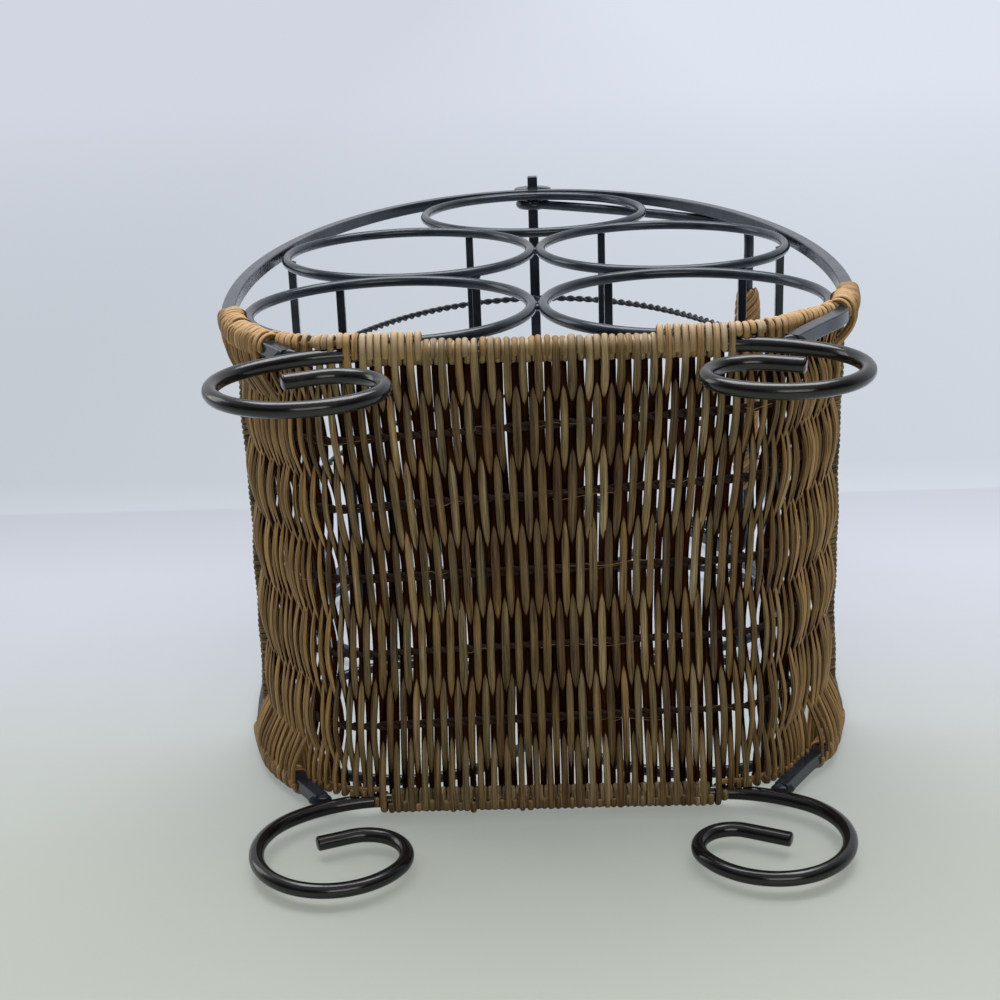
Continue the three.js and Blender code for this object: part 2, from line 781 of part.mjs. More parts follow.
// Wicker grip: a sleeve with domed ends round the straight of the bail
function gripProfile() {
  const bore = bailRadius + seatGap;
  const half = gripLength / 2;
  const lip = bore + gripEndWall;
  const points = [];
  const steps = 5;
  for (let i = 0; i <= steps; i++) {
    const angle = (Math.PI / 2) * (i / steps);
    const radius = lip + (gripRadius - lip) * Math.sin(angle);
    points.push(new THREE.Vector2(radius, -half + gripDomeLength * (1 - Math.cos(angle))));
  }
  const upper = points.map((p) => new THREE.Vector2(p.x, -p.y)).reverse();
  const outline = [new THREE.Vector2(bore, -half), ...points, ...upper];
  outline.push(new THREE.Vector2(bore, half));
  outline.push(outline[0].clone());
  return outline;
}

const grip = addMesh("grip_wrap", new THREE.LatheGeometry(gripProfile(), 12), reed, handle);
grip.geometry.rotateX(Math.PI / 2);
grip.position.set(bailReach, 0, middleZ);

// The origin is the middle of the footprint, at the lowest point
const bounds = new THREE.Box3().setFromObject(rack);
rack.position.y = -(bounds.min.y + bounds.max.y) / 2;
rack.position.z = -bounds.min.z;

export default rack;
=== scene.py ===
"""Looks of the wine rack: woven reed, wound reed, twisted wire and black painted steel."""

import math

import bpy
import numpy as np
from mathutils import Matrix, Vector


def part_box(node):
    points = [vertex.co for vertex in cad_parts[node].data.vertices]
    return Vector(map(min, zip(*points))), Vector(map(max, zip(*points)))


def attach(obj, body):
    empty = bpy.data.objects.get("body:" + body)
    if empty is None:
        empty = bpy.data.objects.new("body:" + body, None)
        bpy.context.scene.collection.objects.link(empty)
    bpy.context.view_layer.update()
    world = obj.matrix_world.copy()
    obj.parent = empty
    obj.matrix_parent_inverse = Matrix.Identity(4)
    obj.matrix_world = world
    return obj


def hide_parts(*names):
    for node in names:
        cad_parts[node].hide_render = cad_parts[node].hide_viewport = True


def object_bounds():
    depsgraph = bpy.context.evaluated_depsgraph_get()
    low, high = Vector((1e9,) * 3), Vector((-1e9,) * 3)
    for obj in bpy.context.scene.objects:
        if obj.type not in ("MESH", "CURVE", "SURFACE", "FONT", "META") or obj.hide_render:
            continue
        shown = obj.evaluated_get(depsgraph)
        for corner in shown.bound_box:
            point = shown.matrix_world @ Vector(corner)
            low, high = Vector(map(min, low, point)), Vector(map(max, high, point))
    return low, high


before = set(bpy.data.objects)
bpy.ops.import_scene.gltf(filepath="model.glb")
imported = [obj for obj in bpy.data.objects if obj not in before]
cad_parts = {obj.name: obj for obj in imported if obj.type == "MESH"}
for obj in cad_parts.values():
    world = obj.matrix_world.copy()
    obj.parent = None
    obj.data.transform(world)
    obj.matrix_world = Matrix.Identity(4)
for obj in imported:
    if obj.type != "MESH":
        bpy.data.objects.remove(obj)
cad_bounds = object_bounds()

MM = 0.001
rng = np.random.default_rng(20)

# Sizes of the rack in millimetres, in the plan frame whose y = 0 lies near the lower rings

GAP = 0.3
RING_RADIUS, WIRE_RADIUS = 50.0, 2.0
LOWER_Y = -1.5
PITCH = 2 * (RING_RADIUS + WIRE_RADIUS) + GAP
RING_X = PITCH / 2
MIDDLE_Y = LOWER_Y + PITCH
TOP_Y = MIDDLE_Y + PITCH * math.sin(math.pi / 3)
ARCH_BAR = 4.8
ARCH_HALF_WIDTH = 112.6
ARCH_CENTRE_Y = 45.02
APEX_Y = TOP_Y + RING_RADIUS + WIRE_RADIUS + GAP + ARCH_BAR / 2
ARCH_HALF_HEIGHT = APEX_Y - ARCH_CENTRE_Y
KNEE = (100.4, -34.0)
SHOULDER_Y = -4.0
ROD_Y = -65.5
ROD_RADIUS = 2.5
WELD = (81.5, ROD_Y + ROD_RADIUS + GAP)
REAR_Z, FRONT_Z = 5.8, 165.8
FRAMES = {"rear": REAR_Z, "front": FRONT_Z}
HANDS = {"left": -1, "right": 1}
MIDDLE_Z = (REAR_Z + FRONT_Z) / 2
BAR_HALF, EDGE_BAR_HALF, TOP_TIE_HALF = 1.6, 1.1, 2.4
TOP_TIE_Y = APEX_Y + ARCH_BAR + GAP
TOTAL_Z = 174.1
EDGE_X, EDGE_Y = 106.2, -3.5

# Radius, lay and point spacing of the two wires that are twisted to one
TWIST_RADIUS, TWIST_PITCH, TWIST_STEP = 0.8, 9.4, 0.8
HOOP_HALF_WIDTH = ARCH_HALF_WIDTH - 3.6
HOOP_HALF_HEIGHT = TOP_TIE_Y - TOP_TIE_HALF - GAP - 2 * TWIST_RADIUS - ARCH_CENTRE_Y

# Depths of ribs and hoops behind the front frame, and their rise for each millimetre to the right
RIB_DEPTHS = (129.5, 102.0, 75.0, 48.5, 25.0)
RIB_SLOPES = (0.03, 0.035, 0.03, 0.055, 0.055)
SAGGING_HOOP, HOOP_SAG = 3, 3.6

# The woven trough: where it ends at each side, and where its flat bottom and its inset end
SIDE = (103.6, -5.0)
FLAT_HALF = 60.0
TROUGH_INSET = 4.6

# Ring centres, and the angles of the two support bars under each
PLACES = {
    "lower_left": (-RING_X, LOWER_Y, 30, 35),
    "lower_right": (RING_X, LOWER_Y, 35, 30),
    "middle_left": (-RING_X, MIDDLE_Y, 29, 35),
    "middle_right": (RING_X, MIDDLE_Y, 29, 34),
    "top": (0.0, TOP_Y, 35, 36),
}

# The plan frame's place in the model: the apex of the arches fixes it
SHIFT_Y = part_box("front_arch")[1][1] / MM - (APEX_Y + ARCH_BAR / 2)


def to_model(points):
    return (np.asarray(points, float) + (0.0, SHIFT_Y, 0.0)) * MM


def make_camera():
    yaw, pitch_down, roll = 0.023, 0.333, -0.035
    data = bpy.data.cameras.new("camera")
    data.sensor_width = 36
    data.sensor_fit = "HORIZONTAL"
    data.lens = 61.03
    data.clip_start = 0.01
    camera = bpy.data.objects.new("camera", data)
    place = Matrix.Translation(Vector(to_model((-2.05, -590.92, FRONT_Z + 131.54))))
    turn, tilt = Matrix.Rotation(yaw, 4, "Z"), Matrix.Rotation(math.pi / 2 - pitch_down, 4, "X")
    camera.matrix_world = place @ turn @ tilt @ Matrix.Rotation(roll, 4, "Z")
    bpy.context.scene.collection.objects.link(camera)
    bpy.context.scene.camera = camera


make_camera()

# Materials


class Graph:
    """The shader nodes of one material or world, laid out in rows as they are made."""

    COLUMNS, WIDE, HIGH = 8, 240, 320

    def __init__(self, tree):
        self.tree = tree

    def fill(self, target, values):
        """Inputs of a node take a link from another node, or a plain number or colour."""
        for key, value in values.items():
            socket = target.inputs[key]
            if isinstance(value, bpy.types.NodeSocket):
                self.tree.links.new(value, socket)
            else:
                socket.default_value = (*value, 1) if socket.type == "RGBA" else value

    def add(self, kind, values=None, **settings):
        made = self.tree.nodes.new("ShaderNode" + kind)
        row, column = divmod(len(self.tree.nodes), self.COLUMNS)
        made.location = (self.WIDE * column, -self.HIGH * row)
        for key, value in settings.items():
            setattr(made, key, value)
        self.fill(made, values or {})
        return made

    def math(self, operation, *values, clamp=False):
        values = dict(enumerate(values))
        return self.add("Math", values, operation=operation, use_clamp=clamp).outputs["Value"]

    def remap(self, value, source, target=(0, 1), smooth=False):
        """The value moved from the source range to the target range, and kept inside it."""
        values = dict(enumerate((value, *source, *target)))
        kind = "SMOOTHSTEP" if smooth else "LINEAR"
        return self.add("MapRange", values, interpolation_type=kind).outputs["Result"]

    def mix(self, factor, first, second, blend="MIX"):
        values = {"Factor": factor, "A": first, "B": second}
        return self.add("Mix", values, data_type="RGBA", blend_type=blend).outputs["Result"]

    def ramp(self, value, stops):
        made = self.add("ValToRGB", {"Fac": value})
        elements = made.color_ramp.elements
        while len(elements) < len(stops):
            elements.new(0.5)
        for element, (position, colour) in zip(elements, stops):
            element.position = position
            element.color = (*colour, 1)
        return made.outputs["Color"]

    def noise(self, vector, scale, detail, rough=0.5):
        values = {"Vector": vector, "Scale": scale, "Detail": detail, "Roughness": rough}
        return self.add("TexNoise", values).outputs["Fac"]

    def stretched(self, vector, scale):
        return self.add("Mapping", {"Vector": vector, "Scale": scale}).outputs["Vector"]

    def bump(self, height, strength, distance):
        values = {"Height": height, "Strength": strength, "Distance": distance}
        return self.add("Bump", values).outputs["Normal"]

    def place(self, kind="Object"):
        return self.add("TexCoord").outputs[kind]

    def attribute(self, name, output="Vector"):
        return self.add("Attribute", attribute_name=name).outputs[output]

    def parts(self, vector):
        return self.add("SeparateXYZ", {"Vector": vector}).outputs

    def inside_weave(self, offset):
        """1 inside the weave and 0 outside it, from the offset outward from the trough line."""
        return self.remap(offset, (-0.28, 0.12), (1, 0), smooth=True)

    def for_camera(self, share, others, seen, end):
        """The end node takes the first shader, and the second one by a share of camera rays."""
        rays = self.add("LightPath").outputs["Is Camera Ray"]
        factor = self.math("MULTIPLY", rays, share)
        mixed = self.add("MixShader", {0: factor, 1: others.outputs[0], 2: seen.outputs[0]})
        self.fill(self.tree.nodes[end], {"Surface": mixed.outputs[0]})


def fresh_material(name):
    material = bpy.data.materials.new(name)
    material.use_nodes = True
    return material, Graph(material.node_tree), material.node_tree.nodes["Principled BSDF"]


# Painted brown shade on paint that lies inside the weave
WEAVE_SHADE_BROWN = (0.035, 0.020, 0.016)


# gleam tints the highlights: a painted cool light colour on the steel
def paint_material(name, base, rough, lump, shaded_in_weave=False, gleam=(0.84, 0.91, 1.0), shine=0.44):
    """Black brushed-on paint: uneven gloss and small lumps; it can carry painted brown shade inside the
    weave.
    """
    material, graph, shader = fresh_material(name)
    where = graph.place()
    broad = graph.noise(where, scale=90, detail=3, rough=0.6)
    fine = graph.noise(where, scale=520, detail=4, rough=0.65)
    worn = tuple(2.2 * c + 0.001 for c in base)
    colour = graph.ramp(broad, [(0.35, base), (0.7, worn)])
    gloss = graph.remap(fine, (0.3, 0.7), (rough - 0.06, rough + 0.10))
    lumps = graph.math("MULTIPLY_ADD", fine, 0.2, broad)
    # Painted shade inside the weave: browner, rougher and less glossy there
    if shaded_in_weave:
        weave_shade_mask = graph.inside_weave(graph.parts(graph.attribute("tone"))["Z"])
        colour = graph.mix(weave_shade_mask, colour, WEAVE_SHADE_BROWN)
        gloss = graph.math("MULTIPLY_ADD", weave_shade_mask, 0.45, gloss)
        shine = graph.math("MULTIPLY_ADD", weave_shade_mask, -0.26, 0.42)
    graph.fill(shader, {"Base Color": colour, "Roughness": gloss, "Specular IOR Level": shine})
    graph.fill(shader, {"Specular Tint": gleam, "Normal": graph.bump(lumps, lump, distance=0.0006)})
    return material


# The colour that reed takes near a rim, and those that its own colour is multiplied by
GOLD = (0.30, 0.220, 0.105)
# CRACK darkens broken fibres; the next colour is painted shade inside the weave, with some dark stain
CRACK, INSIDE_SHADE_AND_STAIN = (0.22, 0.15, 0.11), (0.17, 0.07, 0.022)
# The last colour here is painted shade on each strand's flanks
RED, FLANK_SHADE = (1.0, 0.79, 0.54), (0.30, 0.20, 0.12)


def reed_material(name, stops, rough, pale):
    """Satin reed: a tone for each strand, fine streaks along it, and slow stains.

    The strand attribute holds the place along the strand, and the place in its section, across
    it and then outward. The tone attribute holds one number for each strand, how near the point
    is to a rim, and its offset outward. The warm attribute tells how red the strand is."""
    material, graph, shader = fresh_material(name)
    strand = graph.attribute("strand")
    tone, near_rim, offset = graph.parts(graph.attribute("tone"))
    fibres = graph.noise(graph.stretched(strand, (0.045, 1.25, 1.25)), scale=1, detail=5, rough=0.7)
    stains = graph.noise(graph.stretched(strand, (0.05, 0.25, 0.25)), scale=1, detail=3, rough=0.6)
    clouds = graph.noise(graph.place(), scale=18, detail=2)
    # Position on the colour ramp: the strand's tone moved by fibres, stains and clouds
    total = tone
    for texture, weight in ((fibres, 3.0), (stains, 0.8), (clouds, 0.2)):
        total = graph.math("MULTIPLY_ADD", texture, weight, total)
    colour = graph.ramp(graph.remap(total, (1.6, 3.1)), stops)
    # Reed is more golden near a rim. Where it bends over the rim it is paler, most on top: painted top
    # light
    colour = graph.mix(graph.math("MULTIPLY", near_rim, 0.55), colour, GOLD)
    facing = graph.parts(graph.add("NewGeometry").outputs["Normal"])["Z"]
    upward = graph.remap(facing, (0.1, 0.9), (0.05, 1))
    colour = graph.mix(graph.math("MULTIPLY", near_rim, upward), colour, pale)
    # Dark broken fibres
    cracks = graph.ramp(fibres, [(0.34, CRACK), (0.45, (1, 1, 1))])
    colour = graph.mix(0.8, colour, cracks, "MULTIPLY")
    # Painted shade where the strands lie inside the weave, with some dark stain
    weave_shade_mask = graph.inside_weave(offset)
    colour = graph.mix(weave_shade_mask, colour, INSIDE_SHADE_AND_STAIN, "MULTIPLY")
    # Some strands are redder than others, in patches
    patches = graph.math("MULTIPLY_ADD", stains, 1.4, -0.7)
    redness = graph.math("ADD", patches, graph.attribute("warm", "Fac"), clamp=True)
    colour = graph.mix(redness, colour, RED, "MULTIPLY")
    # Painted shade on each strand's flanks, where its neighbours press close and shade it
    crown = graph.math("ABSOLUTE", graph.parts(strand)["Z"])
    flank_shade = graph.remap(crown, (0.56, 0), (0, 0.8))
    colour = graph.mix(flank_shade, colour, FLANK_SHADE, "MULTIPLY")
    sheen = graph.math("MULTIPLY_ADD", weave_shade_mask, -0.3, 0.33)
    sheen = graph.math("MULTIPLY", sheen, graph.math("MULTIPLY_ADD", flank_shade, -0.8, 1))
    gloss = graph.remap(fibres, (0, 1), (rough - 0.12, rough + 0.14))
    graph.fill(shader, {"Base Color": colour, "Roughness": gloss, "Specular IOR Level": sheen})
    graph.fill(shader, {"Normal": graph.bump(fibres, strength=0.5, distance=0.00025)})
    return material


# One black paint in two copies: a lifted bluish one with a cool highlight tint, partly painted haze and
# cool light, and a darker neutral one for the feet, painted shade
PAINT = paint_material("black_paint", (0.0135, 0.0180, 0.0252), rough=0.17, lump=0.12)
FOOT_LOOKS = {"gleam": (0.95, 0.96, 0.97), "shine": 0.58}
SHADED_FOOT_PAINT = paint_material("black_paint_shaded_for_the_feet", (0.0016, 0.0016, 0.0017), 0.17, 0.14, **FOOT_LOOKS)
# The twisted wire's paint carries painted brown shade inside the weave
WIRE_PAINT = paint_material("twisted_wire_paint", (0.012, 0.013, 0.017), 0.36, 0.2, shaded_in_weave=True)

# Colours of the reed from its darkest to its palest tone
WOVEN_STOPS = [
    (0.0, (0.036, 0.018, 0.009)),
    (0.28, (0.086, 0.056, 0.025)),
    (0.5, (0.148, 0.107, 0.050)),
    (0.75, (0.245, 0.182, 0.092)),
    (1.0, (0.42, 0.33, 0.195)),
]
WRAPPED_STOPS = [
    (0.0, (0.11, 0.060, 0.022)),
    (0.35, (0.24, 0.145, 0.058)),
    (0.65, (0.36, 0.225, 0.095)),
    (1.0, (0.56, 0.39, 0.21)),
]
# pale is the colour of the painted top light where the reed bends over a rim
WOVEN = reed_material("woven_reed_strands", WOVEN_STOPS, rough=0.55, pale=(0.53, 0.425, 0.30))
WRAPPED = reed_material("wrapping_reed_turns", WRAPPED_STOPS, rough=0.5, pale=(0.52, 0.37, 0.24))

# Meshes from swept sections

# The reed's grain: range of starts along it, their share across it, and how far it goes round
GRAIN_STARTS, START_ACROSS, GRAIN_ROUND = 900, 0.37, 1.3
# Offset that counts as outside the weave, and how much deeper a strand's flanks count as lying, both for
# the painted shade inside the weave
OUTSIDE, FLANK_DEPTH = 9.0, 2.0


def step(x, low, high):
    t = np.clip((np.asarray(x, float) - low) / (high - low), 0, 1)
    return t * t * (3 - 2 * t)


def drawn(mean, spread, low, high):
    """A random number near the mean that stays between two limits."""
    return float(np.clip(rng.normal(mean, spread), low, high))


class Pieces:
    """Vertices and faces of one object, gathered sweep by sweep."""

    def __init__(self):
        self.points, self.quads, self.fans = [], [], []
        self.strand, self.tone, self.warm = [], [], []
        self.count = 0

    def sweep(
        self, path, across, over, sides=10, closed=False, section=None,
        tone=0.5, pale=0.0, shade=None, warm=0.3,
    ):
        """Across and over are the section's half axes at each point of the path. The shade holds
        each point's offset from the trough line and how far its over axis reaches outward."""
        count = len(path)
        if section is None:
            angle = np.arange(sides) * 2 * math.pi / sides
            section = np.stack([np.cos(angle), np.sin(angle)], 1)
        sides = len(section)
        u, v = section.T
        ring = path[:, None, :] + across[:, None, :] * u[:, None] + over[:, None, :] * v[:, None]
        self.points.append(ring.reshape(-1, 3))
        start = rng.uniform(0, GRAIN_STARTS)
        along = (lengths_along(path) + start)[:, None]
        grain = (along, u * GRAIN_ROUND + start * START_ACROSS, v * GRAIN_ROUND)
        depth = OUTSIDE
        if shade is not None:
            depth = shade[0][:, None] + shade[1][:, None] * v - FLANK_DEPTH * u**2
        tones = (tone, np.broadcast_to(pale, (count,))[:, None], depth)
        for kept, columns in ((self.strand, grain), (self.tone, tones), (self.warm, (warm,))):
            spread = [np.broadcast_to(column, (count, sides)) for column in columns]
            kept.append(np.stack(spread, -1).ravel())
        i = np.arange(count if closed else count - 1)[:, None]
        j = np.arange(sides)[None, :]
        here, following = i * sides, (i + 1) % count * sides
        beside = (j + 1) % sides
        quads = np.stack([here + j, here + beside, following + beside, following + j], -1)
        self.quads.append(quads.reshape(-1, 4) + self.count)
        new_count = self.count + count * sides
        if not closed:
            first = list(range(self.count, self.count + sides))
            last = list(range(new_count - sides, new_count))
            self.fans += [first[::-1], last]
        self.count = new_count

    def tube(self, path, radius, closed=False, **looks):
        across, over = turning_frames(path, closed)
        self.sweep(path, across * radius, over * radius, closed=closed, **looks)

    def build(self, name, material, replaced=(), sharp=None, body="frame"):
        """One object of the gathered sweeps. Edges bent by more than sharp degrees stay sharp."""
        points = to_model(np.concatenate(self.points))
        mesh = bpy.data.meshes.new(name)
        mesh.from_pydata(points.tolist(), [], np.concatenate(self.quads).tolist() + self.fans)
        for key, values in (("strand", self.strand), ("tone", self.tone), ("warm", self.warm)):
            kind, field = ("FLOAT", "value") if key == "warm" else ("FLOAT_VECTOR", "vector")
            attribute = mesh.attributes.new(key, kind, "POINT")
            attribute.data.foreach_set(field, np.concatenate(values))
        mesh.validate()
        mesh.shade_smooth()
        if sharp is not None:
            mesh.set_sharp_from_angle(angle=math.radians(sharp))
        mesh.materials.append(material)
        made = bpy.data.objects.new(name, mesh)
        bpy.context.scene.collection.objects.link(made)
        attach(made, body)
        if replaced:
            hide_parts(*replaced)


def unit(vectors):
    return vectors / np.maximum(np.linalg.norm(vectors, axis=-1, keepdims=True), 1e-12)


def square_to(vectors, along):
    """The vectors without their part along a path, as unit vectors."""
    return unit(vectors - along * (vectors * along).sum(1, keepdims=True))


def lengths_along(path):
    return np.concatenate([[0.0], np.cumsum(np.linalg.norm(np.diff(path, axis=0), axis=1))])


def tangents(path, closed=False):
    if closed:
        return unit(np.roll(path, -1, 0) - np.roll(path, 1, 0))
    return unit(np.gradient(path, axis=0))


def flat_frames(path, closed=False):
    """Half axes for a path that lies in a plan: one level, one upright."""
    along = tangents(path, closed)
    level = unit(np.cross(along, (0, 0, 1)))
    return level, unit(np.cross(level, along))


def turning_frames(path, closed=False):
    """Half axes that turn as little as they can along a path."""
    along = tangents(path, closed)
    first = np.empty_like(along)
    current = np.array((0.0, 0.0, 1.0) if abs(along[0, 2]) < 0.9 else (1.0, 0.0, 0.0))
    for i, direction in enumerate(along):
        current = unit(current - direction * current.dot(direction))
        first[i] = current
    return first, unit(np.cross(along, first))


def upright_frames(path):
    """Half axes for a path that runs straight up."""
    return np.tile([1.0, 0, 0], (len(path), 1)), np.tile([0, 1.0, 0], (len(path), 1))


def hermite(t, start, start_slope, end, end_slope):
    return (
        (2 * t**3 - 3 * t**2 + 1) * start
        + (t**3 - 2 * t**2 + t) * start_slope
        + (-2 * t**3 + 3 * t**2) * end
        + (t**3 - t**2) * end_slope
    )


def smooth_curve(points, per=12, closed=False):
    """Centripetal Catmull-Rom curve through the points."""
    points = np.asarray(points, float)
    before, after = 2 * points[:1] - points[1:2], 2 * points[-1:] - points[-2:-1]
    if closed:
        before, after = points[-1:], points[:2]
    padded = np.concatenate([before, points, after])
    made = []
    for p0, p1, p2, p3 in zip(padded, padded[1:], padded[2:], padded[3:]):
        d1, d2, d3 = (max(np.linalg.norm(b - a), 1e-6) ** 0.5 for a, b in ((p0, p1), (p1, p2), (p2, p3)))
        m1 = (p2 - p1) + d2 * ((p1 - p0) / d1 - (p2 - p0) / (d1 + d2))
        m2 = (p2 - p1) + d2 * ((p3 - p2) / d3 - (p3 - p1) / (d2 + d3))
        t = np.linspace(0, 1, per, endpoint=False)[:, None]
        made.append(hermite(t, p1, m1, p2, m2))
    if not closed:
        made.append(points[-1:])
    return np.concatenate(made)


def evenly(path, spacing, closed=False):
    """The same path with points at even distances."""
    if closed:
        path = np.concatenate([path, path[:1]])
    lengths = lengths_along(path)
    count = max(2, int(round(lengths[-1] / spacing)) + 1)
    wanted = np.linspace(0, lengths[-1], count)
    made = np.stack([np.interp(wanted, lengths, path[:, k]) for k in range(3)], 1)
    return made[:-1] if closed else made


def eased_square(half, ease=0.45):
    """Square section with small rounded corners."""
    corner = (half - ease) * math.sqrt(2)
    made = []
    for quarter in range(4):
        start, middle, end = (math.radians(90 * (quarter + share)) for share in (0.0, 0.5, 1.0))
        centre = (corner * math.cos(middle), corner * math.sin(middle))
        made += arc(centre, ease, ease, (start, middle, end))
    return np.array(made)


# Plan curves


def with_z(xy, z):
    xy = np.asarray(xy, float)
    return np.column_stack([xy, np.full(len(xy), float(z))])


def joined(x, y, z):
    """Points from rows of numbers or single ones."""
    return np.column_stack(np.broadcast_arrays(x, y, z))


def arc(centre, half_width, half_height, angles):
    x, y = centre
    return [(x + half_width * math.cos(a), y + half_height * math.sin(a)) for a in angles]


def circle(centre, radius, count):
    return arc(centre, radius, radius, np.linspace(0, 2 * math.pi, count, endpoint=False))


def mirrored(right):
    """The same plan points on the left, in the opposite order."""
    return [(-x, y) for x, y in reversed(right)]


def half_width_at(y, half_width, half_height):
    """Half width of an arch or a hoop at the level y."""
    return half_width * math.sqrt(1 - ((y - ARCH_CENTRE_Y) / half_height) ** 2)


# How far out the arch bows between knee and shoulder, and how far its ends sink into the rod
LEG_BOW, LEG_SINK = 0.8, (1.3, 2.1)


def arch_plan():
    shoulder_x = half_width_at(SHOULDER_Y, ARCH_HALF_WIDTH, ARCH_HALF_HEIGHT)
    bowed = ((KNEE[0] + shoulder_x) / 2 + LEG_BOW, (KNEE[1] + SHOULDER_Y) / 2)
    middle = ((WELD[0] + KNEE[0]) / 2, (WELD[1] + KNEE[1]) / 2)
    sunk = (WELD[0] - LEG_SINK[0], WELD[1] - LEG_SINK[1])
    leg = [bowed, KNEE, middle, sunk]
    start = math.asin((SHOULDER_Y - ARCH_CENTRE_Y) / ARCH_HALF_HEIGHT)
    angles = np.linspace(math.pi - start, start, 23)
    bow = arc((0, ARCH_CENTRE_Y), ARCH_HALF_WIDTH, ARCH_HALF_HEIGHT, angles)
    return smooth_curve(with_z(mirrored(leg) + bow + leg, 0), 10)


# A scroll foot starts here. Its lead, bow and curl have a radius and a sweep in degrees each, and
# its tip a length. All four feet are bent by hand and differ.
SCROLL_X = 56.5
SCROLLS = {
    "rear": (((50, 41), (26, 197), (14.5, 144), 11), ((54, 34), (26, 208), (12, 143), 15)),
    "front": (((47, 50), (27.5, 183), (16, 152), 9.5), ((50, 40), (26, 185), (15.5, 158), 10)),
}


def scroll_plan(lead, bow, curl, tip):
    x, y, heading = SCROLL_X, ROD_Y, 0.0
    made = [(x, y)]
    for (radius, degrees), steps in ((lead, 12), (bow, 48), (curl, 36)):
        turn = math.radians(degrees / steps)
        chord = 2 * radius * math.sin(turn / 2)
        for _ in range(steps):
            x += chord * math.cos(heading - turn / 2)
            y += chord * math.sin(heading - turn / 2)
            heading -= turn
            made.append((x, y))
    for reach in np.linspace(0, tip, 5)[1:]:
        made.append((x + reach * math.cos(heading), y + reach * math.sin(heading)))
    return made


def trough_points():
    weld, knee = np.array(WELD), np.array(KNEE)
    along = unit(knee - weld)
    inward = np.array([-along[1], along[0]]) * TROUGH_INSET
    rising = (WELD[0] - (WELD[0] - FLAT_HALF) * 0.6, ROD_Y + 1.1)
    above_knee = ((KNEE[0] + inward[0] + SIDE[0]) / 2 + 1.2, (KNEE[1] + SIDE[1]) / 2 + 1)
    flat = [(FLAT_HALF * share, ROD_Y) for share in (1 / 3, 0.75, 1)]
    leg = [place + inward for place in (weld + along * 4, (weld + knee) / 2, knee)]
    right = [*flat, rising, *leg, above_knee, SIDE]
    return mirrored(right) + right


def hoop_points():
    start = math.asin((SIDE[1] + 30 - ARCH_CENTRE_Y) / HOOP_HALF_HEIGHT)
    angles = np.linspace(start, math.pi - start, 17)
    return trough_points() + arc((0, ARCH_CENTRE_Y), HOOP_HALF_WIDTH, HOOP_HALF_HEIGHT, angles)


# Painted steel


def add_arch(place, z):
    gathered = Pieces()
    path = evenly(ARCH + (0, 0, z), 2.0)
    gathered.sweep(path, *flat_frames(path), section=eased_square(ARCH_BAR / 2))
    gathered.build(place + "_arch_bar", PAINT, [place + "_arch"], sharp=17)


def add_rod(name, path, radius, replaced, closed=False, sides=20, paint=PAINT):
    """A round rod. If it is open, its cut ends have a small worn edge."""
    gathered = Pieces()
    level, upright = turning_frames(path, closed)
    sizes = np.full(len(path), radius)
    if not closed:
        worn_length, worn_depth = 0.4, 0.5
        beyond = worn_length * tangents(path)
        path = np.concatenate([path[:1] - beyond[:1], path, path[-1:] + beyond[-1:]])
        level, upright, sizes = (np.concatenate([a[:1], a, a[-1:]]) for a in (level, upright, sizes))
        sizes[[0, -1]] -= worn_depth
    gathered.sweep(path, level * sizes[:, None], upright * sizes[:, None], sides=sides, closed=closed)
    gathered.build(name, paint, [replaced], sharp=40)


def upright_bar(name, x, y, low, high, half, replaced):
    """A straight square bar between the frames, with eased edges and ends."""
    ease, worn_depth, clear = 0.35, 0.3, 3
    gathered = Pieces()
    middle = np.linspace(low + clear, high - clear, 12)
    path = joined(x, y, [low, low + ease, *middle, high - ease, high])
    sizes = np.ones(len(path))
    sizes[0] = sizes[-1] = (half - worn_depth) / half
    across, over = (axis * sizes[:, None] for axis in upright_frames(path))
    gathered.sweep(path, across, over, section=eased_square(half, ease))
    gathered.build(name, PAINT, [replaced], sharp=17)


ARCH = arch_plan()
ROD_MIDDLE = [(x, ROD_Y) for x in np.linspace(-54, 54, 40)]
for place, z in FRAMES.items():
    add_arch(place, z)
    left, right = (scroll_plan(*spec) for spec in SCROLLS[place])
    rod = evenly(with_z(mirrored(left) + ROD_MIDDLE + right, z), 1.6)
    add_rod(place + "_base_rod", rod, ROD_RADIUS, place + "_scroll_rod", paint=SHADED_FOOT_PAINT)
    for where, (x, y, _, _) in PLACES.items():
        name = place + "_ring_" + where
        ring = with_z(circle((x, y), RING_RADIUS, 120), z)
        add_rod(name + "_wire", ring, WIRE_RADIUS, name, closed=True, sides=14)

BAR_LOW, BAR_HIGH = REAR_Z + WIRE_RADIUS + GAP, FRONT_Z - WIRE_RADIUS - GAP
support_tops = []
for where, (x, y, *angles) in PLACES.items():
    for (hand, side), degrees in zip(HANDS.items(), angles):
        angle = math.radians(degrees)
        bar_x = x + side * RING_RADIUS * math.sin(angle)
        bar_y = y - RING_RADIUS * math.cos(angle)
        support_tops.append((bar_x, bar_y))
        name = f"support_bar_{where}_{hand}"
        upright_bar(name + "_steel", bar_x, bar_y, BAR_LOW, BAR_HIGH, BAR_HALF, name)

